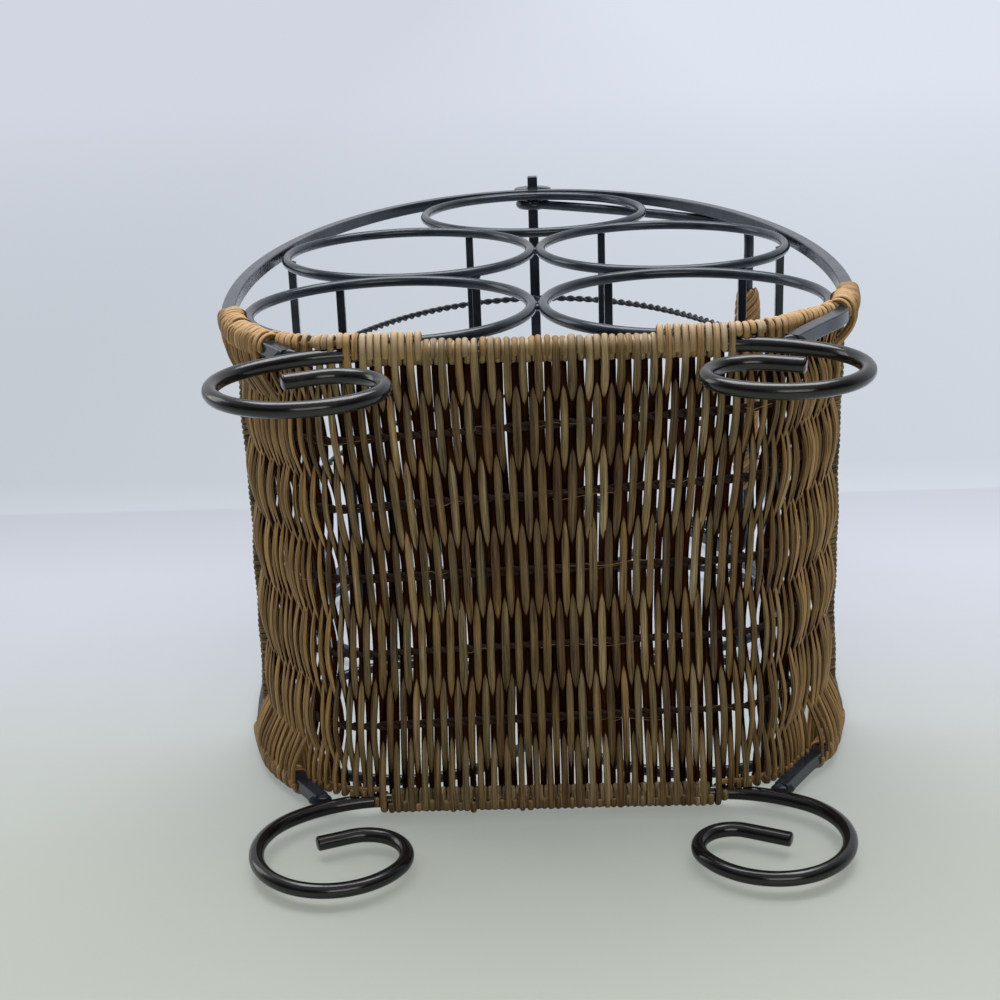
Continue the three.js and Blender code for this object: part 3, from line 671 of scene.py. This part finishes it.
TIE_X = half_width_at(MIDDLE_Y, HOOP_HALF_WIDTH, HOOP_HALF_HEIGHT) - 2 * TWIST_RADIUS - 2 * GAP - BAR_HALF
EDGE_LOW, EDGE_HIGH = REAR_Z + ARCH_BAR / 2 + GAP, FRONT_Z - ARCH_BAR / 2 - GAP
TOP_LOW, TOP_HIGH = 0.02, TOTAL_Z - 0.02
for hand, side in HANDS.items():
    name = "side_tie_bar_" + hand
    upright_bar(name + "_steel", side * TIE_X, MIDDLE_Y, BAR_LOW, BAR_HIGH, BAR_HALF, name)
    name = "edge_bar_" + hand
    x = side * (EDGE_X - 0.9)
    upright_bar(name + "_steel", x, EDGE_Y, EDGE_LOW, EDGE_HIGH, EDGE_BAR_HALF, name)
upright_bar("top_tie_bar_steel", 0, TOP_TIE_Y, TOP_LOW, TOP_HIGH, TOP_TIE_HALF, "top_tie_bar")

for place in FRAMES:
    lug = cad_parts[place + "_apex_lug"]
    lug.data.materials.clear()
    lug.data.materials.append(PAINT)


# Weld beads

welds = Pieces()


def bead(x, y, z, radii, lumps=0.25, turn=None):
    """A small uneven blob of weld."""
    rows, pole = 9, math.pi / 2 - 0.02
    angles = np.linspace(-pole, pole, rows)
    turn = rng.uniform(0, 2 * math.pi) if turn is None else turn
    path = joined(x, y, z + radii[2] * np.sin(angles))
    width = np.cos(angles) * (1 + lumps * rng.uniform(-0.6, 0.6, rows))
    c, s = math.cos(turn), math.sin(turn)
    across = np.outer(width * radii[0], [c, s, 0])
    over = np.outer(width * radii[1], [-s, c, 0])
    welds.sweep(path, across, over, sides=12)


# Half sizes of the beads by what they join, and where two rings touch
RING_BEAD, RING_BLOB, APEX_BEAD = (1.5, 1.9, 1.3), (1.1, 1.3, 1.0), (2.6, 1.0, 1.2)
BAR_BEAD, TIE_BEAD = (1.9, 1.7, 0.8), (1.9, 1.7, 0.9)
LEG_BEAD, LUG_BEAD = (4.4, 1.9, 2.45), (1.3, 1.0, 1.2)
LOWER_HALFWAY, UPPER_HALFWAY = (LOWER_Y + MIDDLE_Y) / 2, (MIDDLE_Y + TOP_Y) / 2
CONTACTS = [(0, LOWER_Y), (0, MIDDLE_Y)]
for x, y in ((RING_X, LOWER_HALFWAY), (RING_X / 2, UPPER_HALFWAY)):
    CONTACTS += [(-x, y), (x, y)]
for place, z in FRAMES.items():
    for x, y in CONTACTS:
        bead(x, y, z - 0.6, RING_BEAD)
        bead(x + rng.uniform(-0.8, 0.8), y + rng.uniform(-1.5, 1.5), z + 0.3, RING_BLOB)
    bead(0, APEX_Y - ARCH_BAR / 2 - 0.2, z - 0.5, APEX_BEAD)
    inward = -1 if place == "front" else 1
    for x, y in support_tops:
        bead(x, y, z + inward * 1.9, BAR_BEAD)
    for side in HANDS.values():
        bead(side * (WELD[0] - 0.6), WELD[1] - 1.6, z, LEG_BEAD, lumps=0.05, turn=0)
        bead(side * TIE_X, MIDDLE_Y, z + inward * 2.2, TIE_BEAD)
        bead(side * 2.6, APEX_Y + ARCH_BAR / 2 + GAP, z + 1.6, LUG_BEAD)
welds.build("weld_beads", PAINT, sharp=60)


# Twisted wire hoops and ribs


def rib_z(index, x, y):
    """Height of a rib, which is set a little askew. The nearer hoop sags at its top."""
    level = FRONT_Z - RIB_DEPTHS[index]
    lower = np.clip((20 - y) / 50, 0, 1)
    sag = HOOP_SAG * np.clip(np.asarray(y) / APEX_Y, 0, 1) if index == SAGGING_HOOP else 0.0
    return level + RIB_SLOPES[index] * np.asarray(x) * lower - sag


TROUGH = smooth_curve(with_z(trough_points(), 0), 24)
HOOP = smooth_curve(with_z(hoop_points(), 0), 24, closed=True)


def twisted(name, path, closed, replaced):
    """Two wires laid round each other. They carry painted brown shade up to a little above the weave's
    sides.
    """
    gathered = Pieces()
    path = evenly(path, TWIST_STEP, closed)
    level, upright = turning_frames(path, closed)
    count = len(path)
    turns = round(TWIST_STEP * count / TWIST_PITCH)
    phase = np.linspace(0, 2 * math.pi * turns, count, endpoint=not closed)
    # The frame's own turn over a closed loop is taken up by the twist
    if closed:
        first, last = level[0], level[-1]
        missing = math.atan2(np.dot(np.cross(last, first), tangents(path, True)[0]), last.dot(first))
        phase += np.linspace(0, missing, count, endpoint=False)
    for start in (0.0, math.pi):
        angle = phase + start
        out = level * np.cos(angle)[:, None] + upright * np.sin(angle)[:, None]
        wire = path + TWIST_RADIUS * out
        # Painted shade where the wire lies inside the weave
        weave_shade_mask = step(-wire[:, 1], -SIDE[1] - 2, -SIDE[1] + 6)
        shade = (2 - 4 * weave_shade_mask, np.zeros(count))
        gathered.tube(wire, TWIST_RADIUS, closed, sides=8, shade=shade)
    gathered.build(name, WIRE_PAINT, [replaced])


for index in range(len(RIB_DEPTHS)):
    is_hoop = index % 2 == 1
    plan = HOOP if is_hoop else TROUGH
    path = plan.copy()
    path[:, 2] = rib_z(index, plan[:, 0], plan[:, 1])
    name = ("hoop_" if is_hoop else "rib_") + str(index + 1)
    twisted(name + "_twisted", path, is_hoop, name)


# The weave: s is the distance along the trough line from its middle, negative on the left

LINE = evenly(TROUGH, 0.5)
LINE_S = np.arange(len(LINE)) * np.linalg.norm(LINE[1] - LINE[0])
LINE_S -= LINE_S[-1] / 2
LINE_T = tangents(LINE)


def on_line(s):
    """The plan point at s, the direction of the line there, and the way outward."""
    x, y, tx, ty = (np.interp(s, LINE_S, column) for column in (*LINE.T[:2], *LINE_T.T[:2]))
    t = unit(np.stack([tx, ty], -1))
    outward = np.stack([t[..., 1], -t[..., 0]], -1)
    return np.stack([x, y], -1), t, outward


def beside_line(s, offsets, heights):
    """Points at offsets outward from the line, its direction there, and the way outward."""
    xy, t, outward = on_line(s)
    return np.column_stack([xy + outward * offsets[:, None], heights]), with_z(t, 0), with_z(outward, 0)


def s_at_y(y):
    right = LINE_S > 20
    return float(np.interp(y, LINE[right, 1], LINE_S[right]))


# Where the rim leaves the base rod, where the weave ends, the stretch where it turns upward, and
# where the front loops begin to stand higher
S_ROD = 60.0
S_END = s_at_y(-9.5)
S_TURN = (62, 85)
S_RAISED = 36.6

# Level of y where each arch leg comes out of the reed, by frame and side
MOUTHS = {("front", -1): -50.0, ("front", 1): -25.0, ("rear", -1): -51.0, ("rear", 1): -39.0}
S_BARS = {key: s_at_y(level) for key, level in MOUTHS.items()}

# Height of the corner wires in front of the frame's plane at the rod, and how far each drops
WIRE_HEIGHT = 4.2
WIRE_DROPS = {("front", -1): 2.2, ("front", 1): 3.4, ("rear", -1): 1.2, ("rear", 1): 1.2}


def wire_height(s, place):
    """How far in front of the frame's plane the corner wire runs."""
    key = (place, 1 if s > 0 else -1)
    return WIRE_HEIGHT - WIRE_DROPS[key] * float(step(abs(s), S_ROD, S_BARS[key]))


def chord(s, place):
    """The front right corner wire cuts its corner by this much."""
    if place == "rear" or s < S_ROD:
        return 0.0
    share = min((s - S_ROD) / (S_BARS["front", 1] - S_ROD), 1)
    return -2.6 * math.sin(math.pi * share)


# Half width of the loops round the rod and round a corner wire, and how far the front ones rise
ROD_LOOP, WIRE_LOOP, RISE = 3.45, 2.0, 2.75
# At the arch's legs: how far outward the loops lie, and how much wider they are
LEG_OUT, LEG_WIDER = {"front": 3.4, "rear": 3.9}, {"front": 0.45, "rear": 0.0}


def carrier(s, place):
    """What a strand's end loops round: offset outward, height, half width and loop height."""
    a = abs(s)
    s_bar = S_BARS[place, 1 if s > 0 else -1]
    on_wire = float(step(a, S_ROD - 0.5, S_ROD + 1.5))
    on_bar = float(step(a, s_bar - 1.0, s_bar + 2.0))
    raised = float(step(a, S_RAISED, S_RAISED + 1.8)) * (1 - on_wire) if place == "front" else 0.0
    outward = LEG_OUT[place] * on_bar + chord(s, place) * (1 - on_bar)
    height = wire_height(s, place) * on_wire * (1 - on_bar)
    half = ROD_LOOP - (ROD_LOOP - WIRE_LOOP) * on_wire * (1 - on_bar) + LEG_WIDER[place] * on_bar
    return outward, height, half, half + RISE * raised


# The largest fan of the strands, its share at the rear, and where it is
FAN, REAR_FAN_SHARE, S_WIDEST = 5.6, 0.45, 75


def fan(s):
    """How far the strand's ends are spread along the rim from its middle."""
    rising = math.sin(math.pi / 2 * min(abs(s) / S_WIDEST, 1))
    falling = float(np.clip((S_END - abs(s)) / (S_END - S_WIDEST), 0, 1))
    return math.copysign(FAN * rising * falling, s)


def between(z, knot_z):
    """The knot before each z, the distance from it to the next one, and the share of that."""
    i = np.clip(np.searchsorted(knot_z, z) - 1, 0, len(knot_z) - 2)
    span = np.maximum(knot_z[i + 1] - knot_z[i], 1e-6)
    return i, span, np.clip((z - knot_z[i]) / span, 0, 1)


def eased(z, knot_z, values):
    """Values that rest at each knot and ease between them."""
    i, _, t = between(z, knot_z)
    return values[i] + (values[i + 1] - values[i]) * (1 - np.cos(math.pi * t)) / 2


def through_knots(z, knot_z, values):
    """A smooth curve through the knots."""
    i, span, t = between(z, knot_z)
    slopes = np.gradient(values, knot_z)
    return hermite(t, values[i], span * slopes[i], values[i + 1], span * slopes[i + 1])


def loop_points(s, z, out, half, tall, tail, slant):
    """From the strand's side of the carrier over the top to the other side, and a tail."""
    angles = np.linspace(0, math.pi, 15)
    ends = np.linspace(0, tail, 5)[1:]
    offsets = np.concatenate([out + half * np.cos(angles), out - half + np.sign(half) * 0.12 * ends])
    heights = np.concatenate([z + tall * np.sin(angles), z - np.sign(tall) * ends])
    moved = slant * np.concatenate([angles / math.pi, np.ones(4)])
    return *beside_line(s + moved * np.sign(half), offsets, heights), offsets - out


# How far the strands bend round a rib in the middle and round the sides
REACH, SIDE_REACH = 2.62, 2.35
# How far a strand runs straight from a rim, its half sizes in the loops, and a tucked tail
RIM_RUN, LOOP_HALF, LOOP_THICK, TUCKED_TAIL = 2.5, 1.12, 0.9, 1.5
# How far the loops slant at the corners
SLANT = 2.2
# Unevenness of the ends' places, the loops' widths and heights, and the heights at the ribs
END_SPREAD, LOOP_SPREAD, TALL_SPREAD, RIB_SPREAD = 0.16, 0.16, 0.3, 0.6
weave = Pieces()


def run_section(s, heights, closeness, side_share):
    """Half sizes of a strand between the rims. The strands are packed closest in the middle."""
    centred = 1 - float(step(abs(s + 4), 10, 34))
    low_down = step(-heights, -REAR_Z - 36, -REAR_Z - 14) * (1 - side_share)
    half = 1.22 + 0.21 * centred - (0.1 + 0.16 * centred) * low_down
    half = half + (0.2 - 0.15 * centred) * (1 - closeness) * (1 - low_down)
    thick = (1.0 - 0.05 * closeness) * (1 - 0.15 * side_share)
    return half, thick


def strand(s, sign, width):
    """One strand from its end behind or before the front rim, through the ribs, to the rear."""
    front_jitter, rear_jitter, _ = rng.normal(0, END_SPREAD, 3)
    side_share = float(step(abs(s), *S_TURN))
    wobble = rng.normal(0, 0.2 + 0.55 * side_share, 5)
    shift = fan(s)
    s_front = s + shift + front_jitter
    s_rear = s + REAR_FAN_SHARE * shift + rear_jitter
    x_mid, y_mid = on_line(s)[0]
    out_f, dz_f, half_f, tall_f = carrier(s_front, "front")
    out_r, dz_r, half_r, tall_r = carrier(s_rear, "rear")
    # No two loops are pulled equally tight, and those at the corners slant
    half_f, half_r = (half_f, half_r) + np.abs(rng.normal(0, LOOP_SPREAD, 2))
    tall_f, tall_r = (tall_f, tall_r) + np.abs(rng.normal(0, TALL_SPREAD, 2))
    slant = math.copysign(SLANT, s) * float(step(abs(s), S_ROD, S_WIDEST))
    z_f, z_r = FRONT_Z + dz_f, REAR_Z + dz_r
    uneven = 1 + rng.normal(0, 0.04 + 0.08 * side_share, 5)
    reach = (REACH + (SIDE_REACH - REACH) * side_share) * uneven
    # Knots of the run between the rims: height, offset outward and place along the line
    side_f, side_r = out_f + sign * half_f, out_r + sign * half_r
    knots = [(z_f, side_f, s_front), (z_f - RIM_RUN, side_f, s_front)]
    for k, index in enumerate((4, 3, 2, 1, 0)):
        level = float(rib_z(index, x_mid, y_mid)) + rng.normal(0, RIB_SPREAD)
        share = (level - z_r) / (z_f - z_r)
        to_front, to_rear = step(share, 0.45, 1.0), step(1 - share, 0.55, 1.0)
        place = s + (s_front - s) * to_front + (s_rear - s) * to_rear + wobble[k]
        knots.append((level, (sign if k % 2 else -sign) * reach[k], place))
    knots += [(z_r + RIM_RUN, side_r, s_rear), (z_r, side_r, s_rear)]
    knot_z, knot_out, knot_s = np.array(knots)[::-1].T
    heights = np.linspace(z_f, z_r, 110)
    offsets = eased(heights, knot_z, knot_out)
    run = *beside_line(through_knots(heights, knot_z, knot_s), offsets, heights), offsets
    closeness = np.clip(np.abs(offsets) / REACH, 0, 1)
    run_half, run_thick = run_section(s, heights, closeness, side_share)
    # The loops over the rims
    front_tail = rng.uniform(0.6, 1.8) if sign < 0 else TUCKED_TAIL
    rear_tail = rng.uniform(0.3, 1.7) if sign < 0 else TUCKED_TAIL
    front = loop_points(s_front, z_f, out_f, sign * half_f, tall_f, front_tail, slant)
    rear = loop_points(s_rear, z_r, out_r, sign * half_r, -tall_r, rear_tail, slant)
    whole = (np.concatenate([a[::-1], b[1:-1], c]) for a, b, c in zip(front, run, rear))
    path, wide, outward, depth = whole
    loop = len(front[0])
    half = np.pad(run_half[1:-1], loop, constant_values=LOOP_HALF)
    half = np.convolve(np.pad(half, 4, mode="edge"), np.ones(9) / 9, mode="valid") * width
    thick = np.pad(run_thick[1:-1], loop, constant_values=LOOP_THICK)
    # Rounded ends
    for edge, scale in ((0, 0.45), (1, 0.8), (-1, 0.45), (-2, 0.8)):
        half[edge] *= scale
        thick[edge] *= scale
    along = tangents(path)
    wide = square_to(wide, along)
    over = np.cross(along, wide)
    up_sign = np.sign((over * outward).sum(1))
    # Near the rims the reed turns golden, gets painted top light and less painted shade inside the weave;
    # the raised loops of the front rim get the most painted top light
    raised = float(step(abs(s_front), 36, 39)) * (path[:, 2] > MIDDLE_Z)
    rim = step(path[:, 2], FRONT_Z - 9, FRONT_Z + 1)
    rim = np.maximum(rim, 0.45 * step(-path[:, 2], -(REAR_Z + 42), -REAR_Z))
    weave.sweep(
        path,
        wide * half[:, None],
        over * thick[:, None],
        sides=12,
        tone=drawn(0.36 + 0.31 * side_share, 0.22, -0.05, 1.3),
        pale=rim * rng.uniform(0.45, 0.95) * (0.65 + 2.3 * raised),
        shade=(depth + 4 * rim, thick * up_sign),
        warm=drawn(0.5 + 0.85 * side_share, 0.3, -0.2, 1.6),
    )


MIDDLE_PITCH, SIDE_PITCH = 2.32, 1.72
S_CLOSER = (55, 80)


def strand_places():
    """Distances of the strands from the middle, closer together round the sides."""
    places = [0.0]
    while True:
        share = float(step(places[-1], *S_CLOSER))
        following = places[-1] + MIDDLE_PITCH + (SIDE_PITCH - MIDDLE_PITCH) * share
        if following > S_END:
            return places
        places.append(following)


for k, place in enumerate(strand_places()):
    width = 1 - 0.3 * float(step(place, *S_CLOSER))
    for s in (place, -place) if k else (0.0,):
        strand(s, 1 if k % 2 == 0 else -1, width * drawn(1, 0.05, 0.88, 1.12))
weave.build("woven_strands", WOVEN, ["woven_trough", "front_rim_wrap", "rear_rim_wrap"])


# Pale loose fibres lie along the ribs here and there, outside the strands

FIBRE_RADIUS, S_FIBRES = 0.09, 88
hairs = Pieces()
for _ in range(20):
    index = int(rng.integers(0, 5))
    length = rng.uniform(6, 26)
    s_start = rng.uniform(-S_FIBRES, S_FIBRES - length)
    share = np.linspace(0, 1, 26)
    xy, _, outward = on_line(s_start + length * share)
    waves = np.sin(share * rng.uniform(2, 6) + rng.uniform(0, 6))
    lift = rng.uniform(1.6, 3.7) + 0.4 * waves
    heights = rib_z(index, xy[:, 0], xy[:, 1]) + rng.uniform(-1, 2.5) + 0.7 * np.roll(waves, 5)
    fibre = np.column_stack([xy + outward * lift[:, None], heights])
    hairs.tube(fibre, FIBRE_RADIUS, sides=5, tone=rng.uniform(0.1, 1.3), warm=1.0)
hairs.build("loose_fibres", WOVEN)


# Wound reed: rings of reed round the bars and wires

WOUND_STEP = 0.25


def wound(gathered, path, size, pitch, reed_half, thick, slope=0.0, frames=flat_frames, pale=0.0):
    """Turns of reed round a carrier. The size is the radius of the reed's own centre line, a
    number or a function of the share of the path."""
    path = evenly(path, WOUND_STEP)
    turns = max(1, int(round(WOUND_STEP * (len(path) - 1) / pitch)))
    level, upright = frames(path)
    along = tangents(path)
    for turn in range(turns):
        middle = (turn + 0.5) / turns
        angle = np.linspace(0, 2 * math.pi, 28, endpoint=False) + rng.uniform(0, 1)
        lean = slope + rng.normal(0, 0.10)
        index = middle * (len(path) - 1) + lean * np.cos(angle) / WOUND_STEP
        k = np.clip(index, 0, len(path) - 1).astype(int)
        # Rounded square rather than a plain circle
        c, s = np.cos(angle), np.sin(angle)
        squared = (np.abs(c) ** 3 + np.abs(s) ** 3) ** (-1 / 3)
        reach = (size(middle) if callable(size) else size) * squared * (1 + rng.normal(0, 0.02))
        ring = path[k] + level[k] * (reach * c)[:, None] + upright[k] * (reach * s)[:, None]
        direction = tangents(ring, True)
        wide = square_to(along[k], direction)
        over = np.cross(direction, wide)
        gathered.sweep(
            ring,
            wide * reed_half * (1 + rng.normal(0, 0.05)),
            over * thick,
            sides=9,
            closed=True,
            tone=drawn(0.35, 0.16, 0, 0.75),
            pale=pale,
        )


def thicker_at_rear(share):
    return 1.95 + 1.3 * (1 - float(step(share, 0.05, 0.34)))


def edge_windings(hand, side):
    """Turns round a side edge bar, swaying a little."""
    gathered = Pieces()
    inset = 1.1 if side < 0 else 0.7
    heights = np.linspace(REAR_Z + 3.2, FRONT_Z - 3.2, 60)
    sway = 0.3 * np.sin(heights / 11 + side) + 0.2 * np.sin(heights / 4.3)
    line = joined(side * (EDGE_X - inset) + sway, EDGE_Y, heights)
    wound(gathered, line, thicker_at_rear, 2.1, reed_half=1.0, thick=0.7, slope=0.6, frames=upright_frames)
    gathered.build("edge_windings_" + hand, WOVEN, ["edge_wrap_" + hand])


def rim_turns(place, z):
    """Turns of reed fill the rod between the strands' loops."""
    gathered = Pieces()
    rod_line = joined(np.linspace(-55.5, 55.5, 200), ROD_Y, z)
    # The front turns are golden and get painted top light
    pale = 0.8 if place == "front" else 0.0
    wound(gathered, rod_line, 3.0, MIDDLE_PITCH * 1.05, reed_half=1.16, thick=0.85, slope=0.1, pale=pale)
    gathered.build(place + "_rim_turns", WOVEN)


def corner_windings(place, z, hand, side):
    """Turns round the arch's leg, from its mouth in the weave upward."""
    low = MOUTHS[place, side] + 1.5
    high = max(-6.0, MOUTHS[place, side] + 30)
    leg = [(x, y) for x, y, _ in ARCH if x * side > 0 and low < y < high]
    leg.sort(key=lambda point: point[1])
    gathered = Pieces()
    wound(gathered, with_z(leg, z), 3.3, 2.1, reed_half=1.06, thick=0.8, slope=0.9 * side)
    name = place + "_corner_windings_" + hand
    gathered.build(name, WRAPPED, [place + "_corner_wrap_" + hand])


def corner_core(place, z, hand, side):
    """The corner wire under the strands' loops."""
    start = S_RAISED + 0.8 if place == "front" else S_ROD - 2
    s_values = np.linspace(start, S_BARS[place, side] + 2, 60) * side
    offsets = np.array([chord(s, place) for s in s_values])
    heights = z + np.array([wire_height(s, place) for s in s_values])
    gathered = Pieces()
    gathered.tube(beside_line(s_values, offsets, heights)[0], 1.0, tone=0.3)
    name = place + "_corner_core_" + hand
    gathered.build(name, WRAPPED, [place + "_corner_wire_" + hand])


for hand, side in HANDS.items():
    edge_windings(hand, side)
for place, z in FRAMES.items():
    rim_turns(place, z)
    for hand, side in HANDS.items():
        corner_windings(place, z, hand, side)
        corner_core(place, z, hand, side)


# Carrying handle

BAIL_RADIUS, BAIL_REACH = 2.2, 129.0
EYE_PLAY = 0.6
EYE_RADIUS = TOP_TIE_HALF * math.sqrt(2) + EYE_PLAY + BAIL_RADIUS
EYE_DROP = ARCH_BAR / 2 + EYE_PLAY + BAIL_RADIUS
EYE_LEVELS = (FRONT_Z - EYE_DROP, REAR_Z + EYE_DROP)
REST = math.radians(-41.9)
GRIP_HALF = 48.0


def handle_points(points):
    """Points in the handle's own frame, where it lies along x, turned to its place of rest."""
    x, y, z = np.asarray(points, float).T
    c, s = math.cos(REST), math.sin(REST)
    return joined(x * c - y * s, x * s + y * c + TOP_TIE_Y, z)


def arm_points(z, outward):
    """One arm from its eye to the corner: it bows, and its hump rises over the frame."""
    bow, rise = 8.2, 3.6
    shares = ((0.3, 0.62, 0), (0.55, 0.97, 0), (0.75, 1, 0), (0.86, 0.85, 0.15), (0.94, 0.5, 0.95))
    stations = [(EYE_RADIUS, 0, 0)]
    stations += [(BAIL_REACH * a, bow * b, rise * c) for a, b, c in shares]
    stations += [(BAIL_REACH - BAIL_RADIUS, bow * 0.12, rise * 0.9), (BAIL_REACH, 0, -BAIL_RADIUS)]
    return [(x, b, z + outward * r) for x, b, r in stations]


front_arm = arm_points(EYE_LEVELS[0], 1)
rear_arm = arm_points(EYE_LEVELS[1], -1)[::-1]
grip_ends = [(BAIL_REACH, 0, MIDDLE_Z + GRIP_HALF), (BAIL_REACH, 0, MIDDLE_Z - GRIP_HALF)]
bail_path = handle_points(evenly(smooth_curve(front_arm + grip_ends + rear_arm, 14), 1.4))
bail = Pieces()
bail.tube(bail_path, BAIL_RADIUS, sides=16)
for z in EYE_LEVELS:
    eye = handle_points(with_z(circle((0, 0), EYE_RADIUS, 48), z))
    across, over = (axis * BAIL_RADIUS for axis in flat_frames(eye, True))
    bail.sweep(eye, across, over, sides=14, closed=True)
bail.build("bail_wire", PAINT, ["bail"], sharp=50, body="handle")

# The grip's radii at its ends and middle, and the length of its taper
GRIP_END, GRIP_MIDDLE, GRIP_TAPER = 2.6, 4.95, 14
# Its strips of reed: their number, lead and overlap
STRIPS, LEAD, OVERLAP = 8, 30.0, 1.06
grip_x, grip_y, _ = handle_points([(BAIL_REACH, 0, 0)])[0]
grip = Pieces()


def grip_radius(z):
    end_share = np.clip((GRIP_HALF - np.abs(z)) / GRIP_TAPER, 0, 1)
    dome = np.sqrt(np.clip(1 - (1 - end_share) ** 2, 0, 1))
    return GRIP_END + (GRIP_MIDDLE - GRIP_END) * dome


for k in range(STRIPS):
    heights = np.linspace(-GRIP_HALF + 0.9, GRIP_HALF - 0.9, 150)
    angle = 2 * math.pi * (heights / LEAD + k / STRIPS)
    radius = grip_radius(heights)
    radial = with_z(np.column_stack([np.cos(angle), np.sin(angle)]), 0)
    path = joined(grip_x, grip_y, MIDDLE_Z + heights) + radius[:, None] * radial
    along = tangents(path)
    outward = square_to(radial, along)
    wide = np.cross(outward, along)
    reed_half = math.pi * radius / STRIPS * np.abs(along[:, 2]) * OVERLAP
    tone = drawn(0.55, 0.14, 0, 1.0)
    # A little gold and painted top light on the grip
    grip.sweep(path, wide * reed_half[:, None], outward * 0.95, sides=10, tone=tone, pale=0.1)
grip.build("grip_windings", WRAPPED, ["grip_wrap"], body="handle")


# Floor, light and world

TABLE_NEAR, TABLE_FAR = (0.487, 0.522, 0.474), (0.55, 0.58, 0.655)
SHEET_NEAR, SHEET_FAR = (0.60, 0.64, 0.70), (0.69, 0.73, 0.82)
SKY, WALL = (0.93, 0.96, 1.0), (0.62, 0.66, 0.73)


def stage_material():
    """Pale table, and beyond it a cooler sheet, both lifted a little for the camera."""
    material, graph, shader = fresh_material("pale_table")
    x, y, _ = graph.parts(graph.place())
    table = graph.mix(graph.remap(y, (-0.20, 0.10), smooth=True), TABLE_NEAR, TABLE_FAR)
    sheet = graph.mix(graph.remap(y, (0.3, 2.5), smooth=True), SHEET_NEAR, SHEET_FAR)
    whole = graph.mix(graph.remap(y, (0.196, 0.200), smooth=True), table, sheet)
    # Painted light: the floor is a little brighter to the right, as the light falls off to the left
    light_falloff = graph.remap(x, (-0.35, 0.35), (0.925, 1.06))
    whole = graph.add("VectorMath", {0: whole, "Scale": light_falloff}, operation="SCALE").outputs["Vector"]
    graph.fill(shader, {"Base Color": whole, "Roughness": 0.42, "Specular IOR Level": 0.3})
    glow = graph.add("Emission", {"Color": whole})
    share = graph.remap(y, (0.1, 0.25), (0.45, 1.0))
    graph.for_camera(share, shader, glow, "Material Output")
    return material


bpy.ops.mesh.primitive_plane_add(size=60)
floor = bpy.context.object
floor.name = "floor"
floor.location.z = cad_bounds[0][2]
floor.data.materials.append(stage_material())


def area_light(name, place, aim, size, power, colour):
    data = bpy.data.lights.new(name, "AREA")
    data.shape = "RECTANGLE"
    data.size, data.size_y = size
    data.energy = power
    data.color = colour
    made = bpy.data.objects.new(name, data)
    made.location = place
    direction = Vector(aim) - Vector(place)
    made.rotation_euler = direction.to_track_quat("-Z", "Y").to_euler()
    bpy.context.scene.collection.objects.link(made)


area_light("overhead", (0.0, 0.25, 1.2), (0, 0, 0.1), (1.2, 0.7), power=17.0, colour=(1.0, 0.99, 0.97))
area_light("window", (-1.4, 0.5, 0.7), (0, 0, 0.08), (0.6, 0.9), power=3.7, colour=(1.0, 0.98, 0.94))
area_light("fill", (0.3, -1.5, 0.66), (0, 0, 0.08), (1.0, 0.6), power=5.5, colour=(1.0, 0.95, 0.87))


def world_light():
    """A pale sky overhead that fades towards the horizon. The camera sees a plain pale wall."""
    world = bpy.context.scene.world or bpy.data.worlds.new("world")
    bpy.context.scene.world = world
    world.use_nodes = True
    graph = Graph(world.node_tree)
    _, y, z = graph.parts(graph.place("Generated"))
    beyond = graph.remap(y, (-0.3, 0.7), (0.10, 0.85), smooth=True)
    above = graph.remap(z, (0.35, 0.9), (0, 0.7), smooth=True)
    sky = graph.ramp(graph.math("MAXIMUM", beyond, above), [(0.0, (0, 0, 0)), (1.0, SKY)])
    background = world.node_tree.nodes["Background"]
    graph.fill(background, {"Color": sky, "Strength": 0.8})
    wall = graph.add("Background", {"Color": WALL, "Strength": 1})
    graph.for_camera(1, background, wall, "World Output")


world_light()

bpy.context.scene.view_settings.view_transform = "Standard"
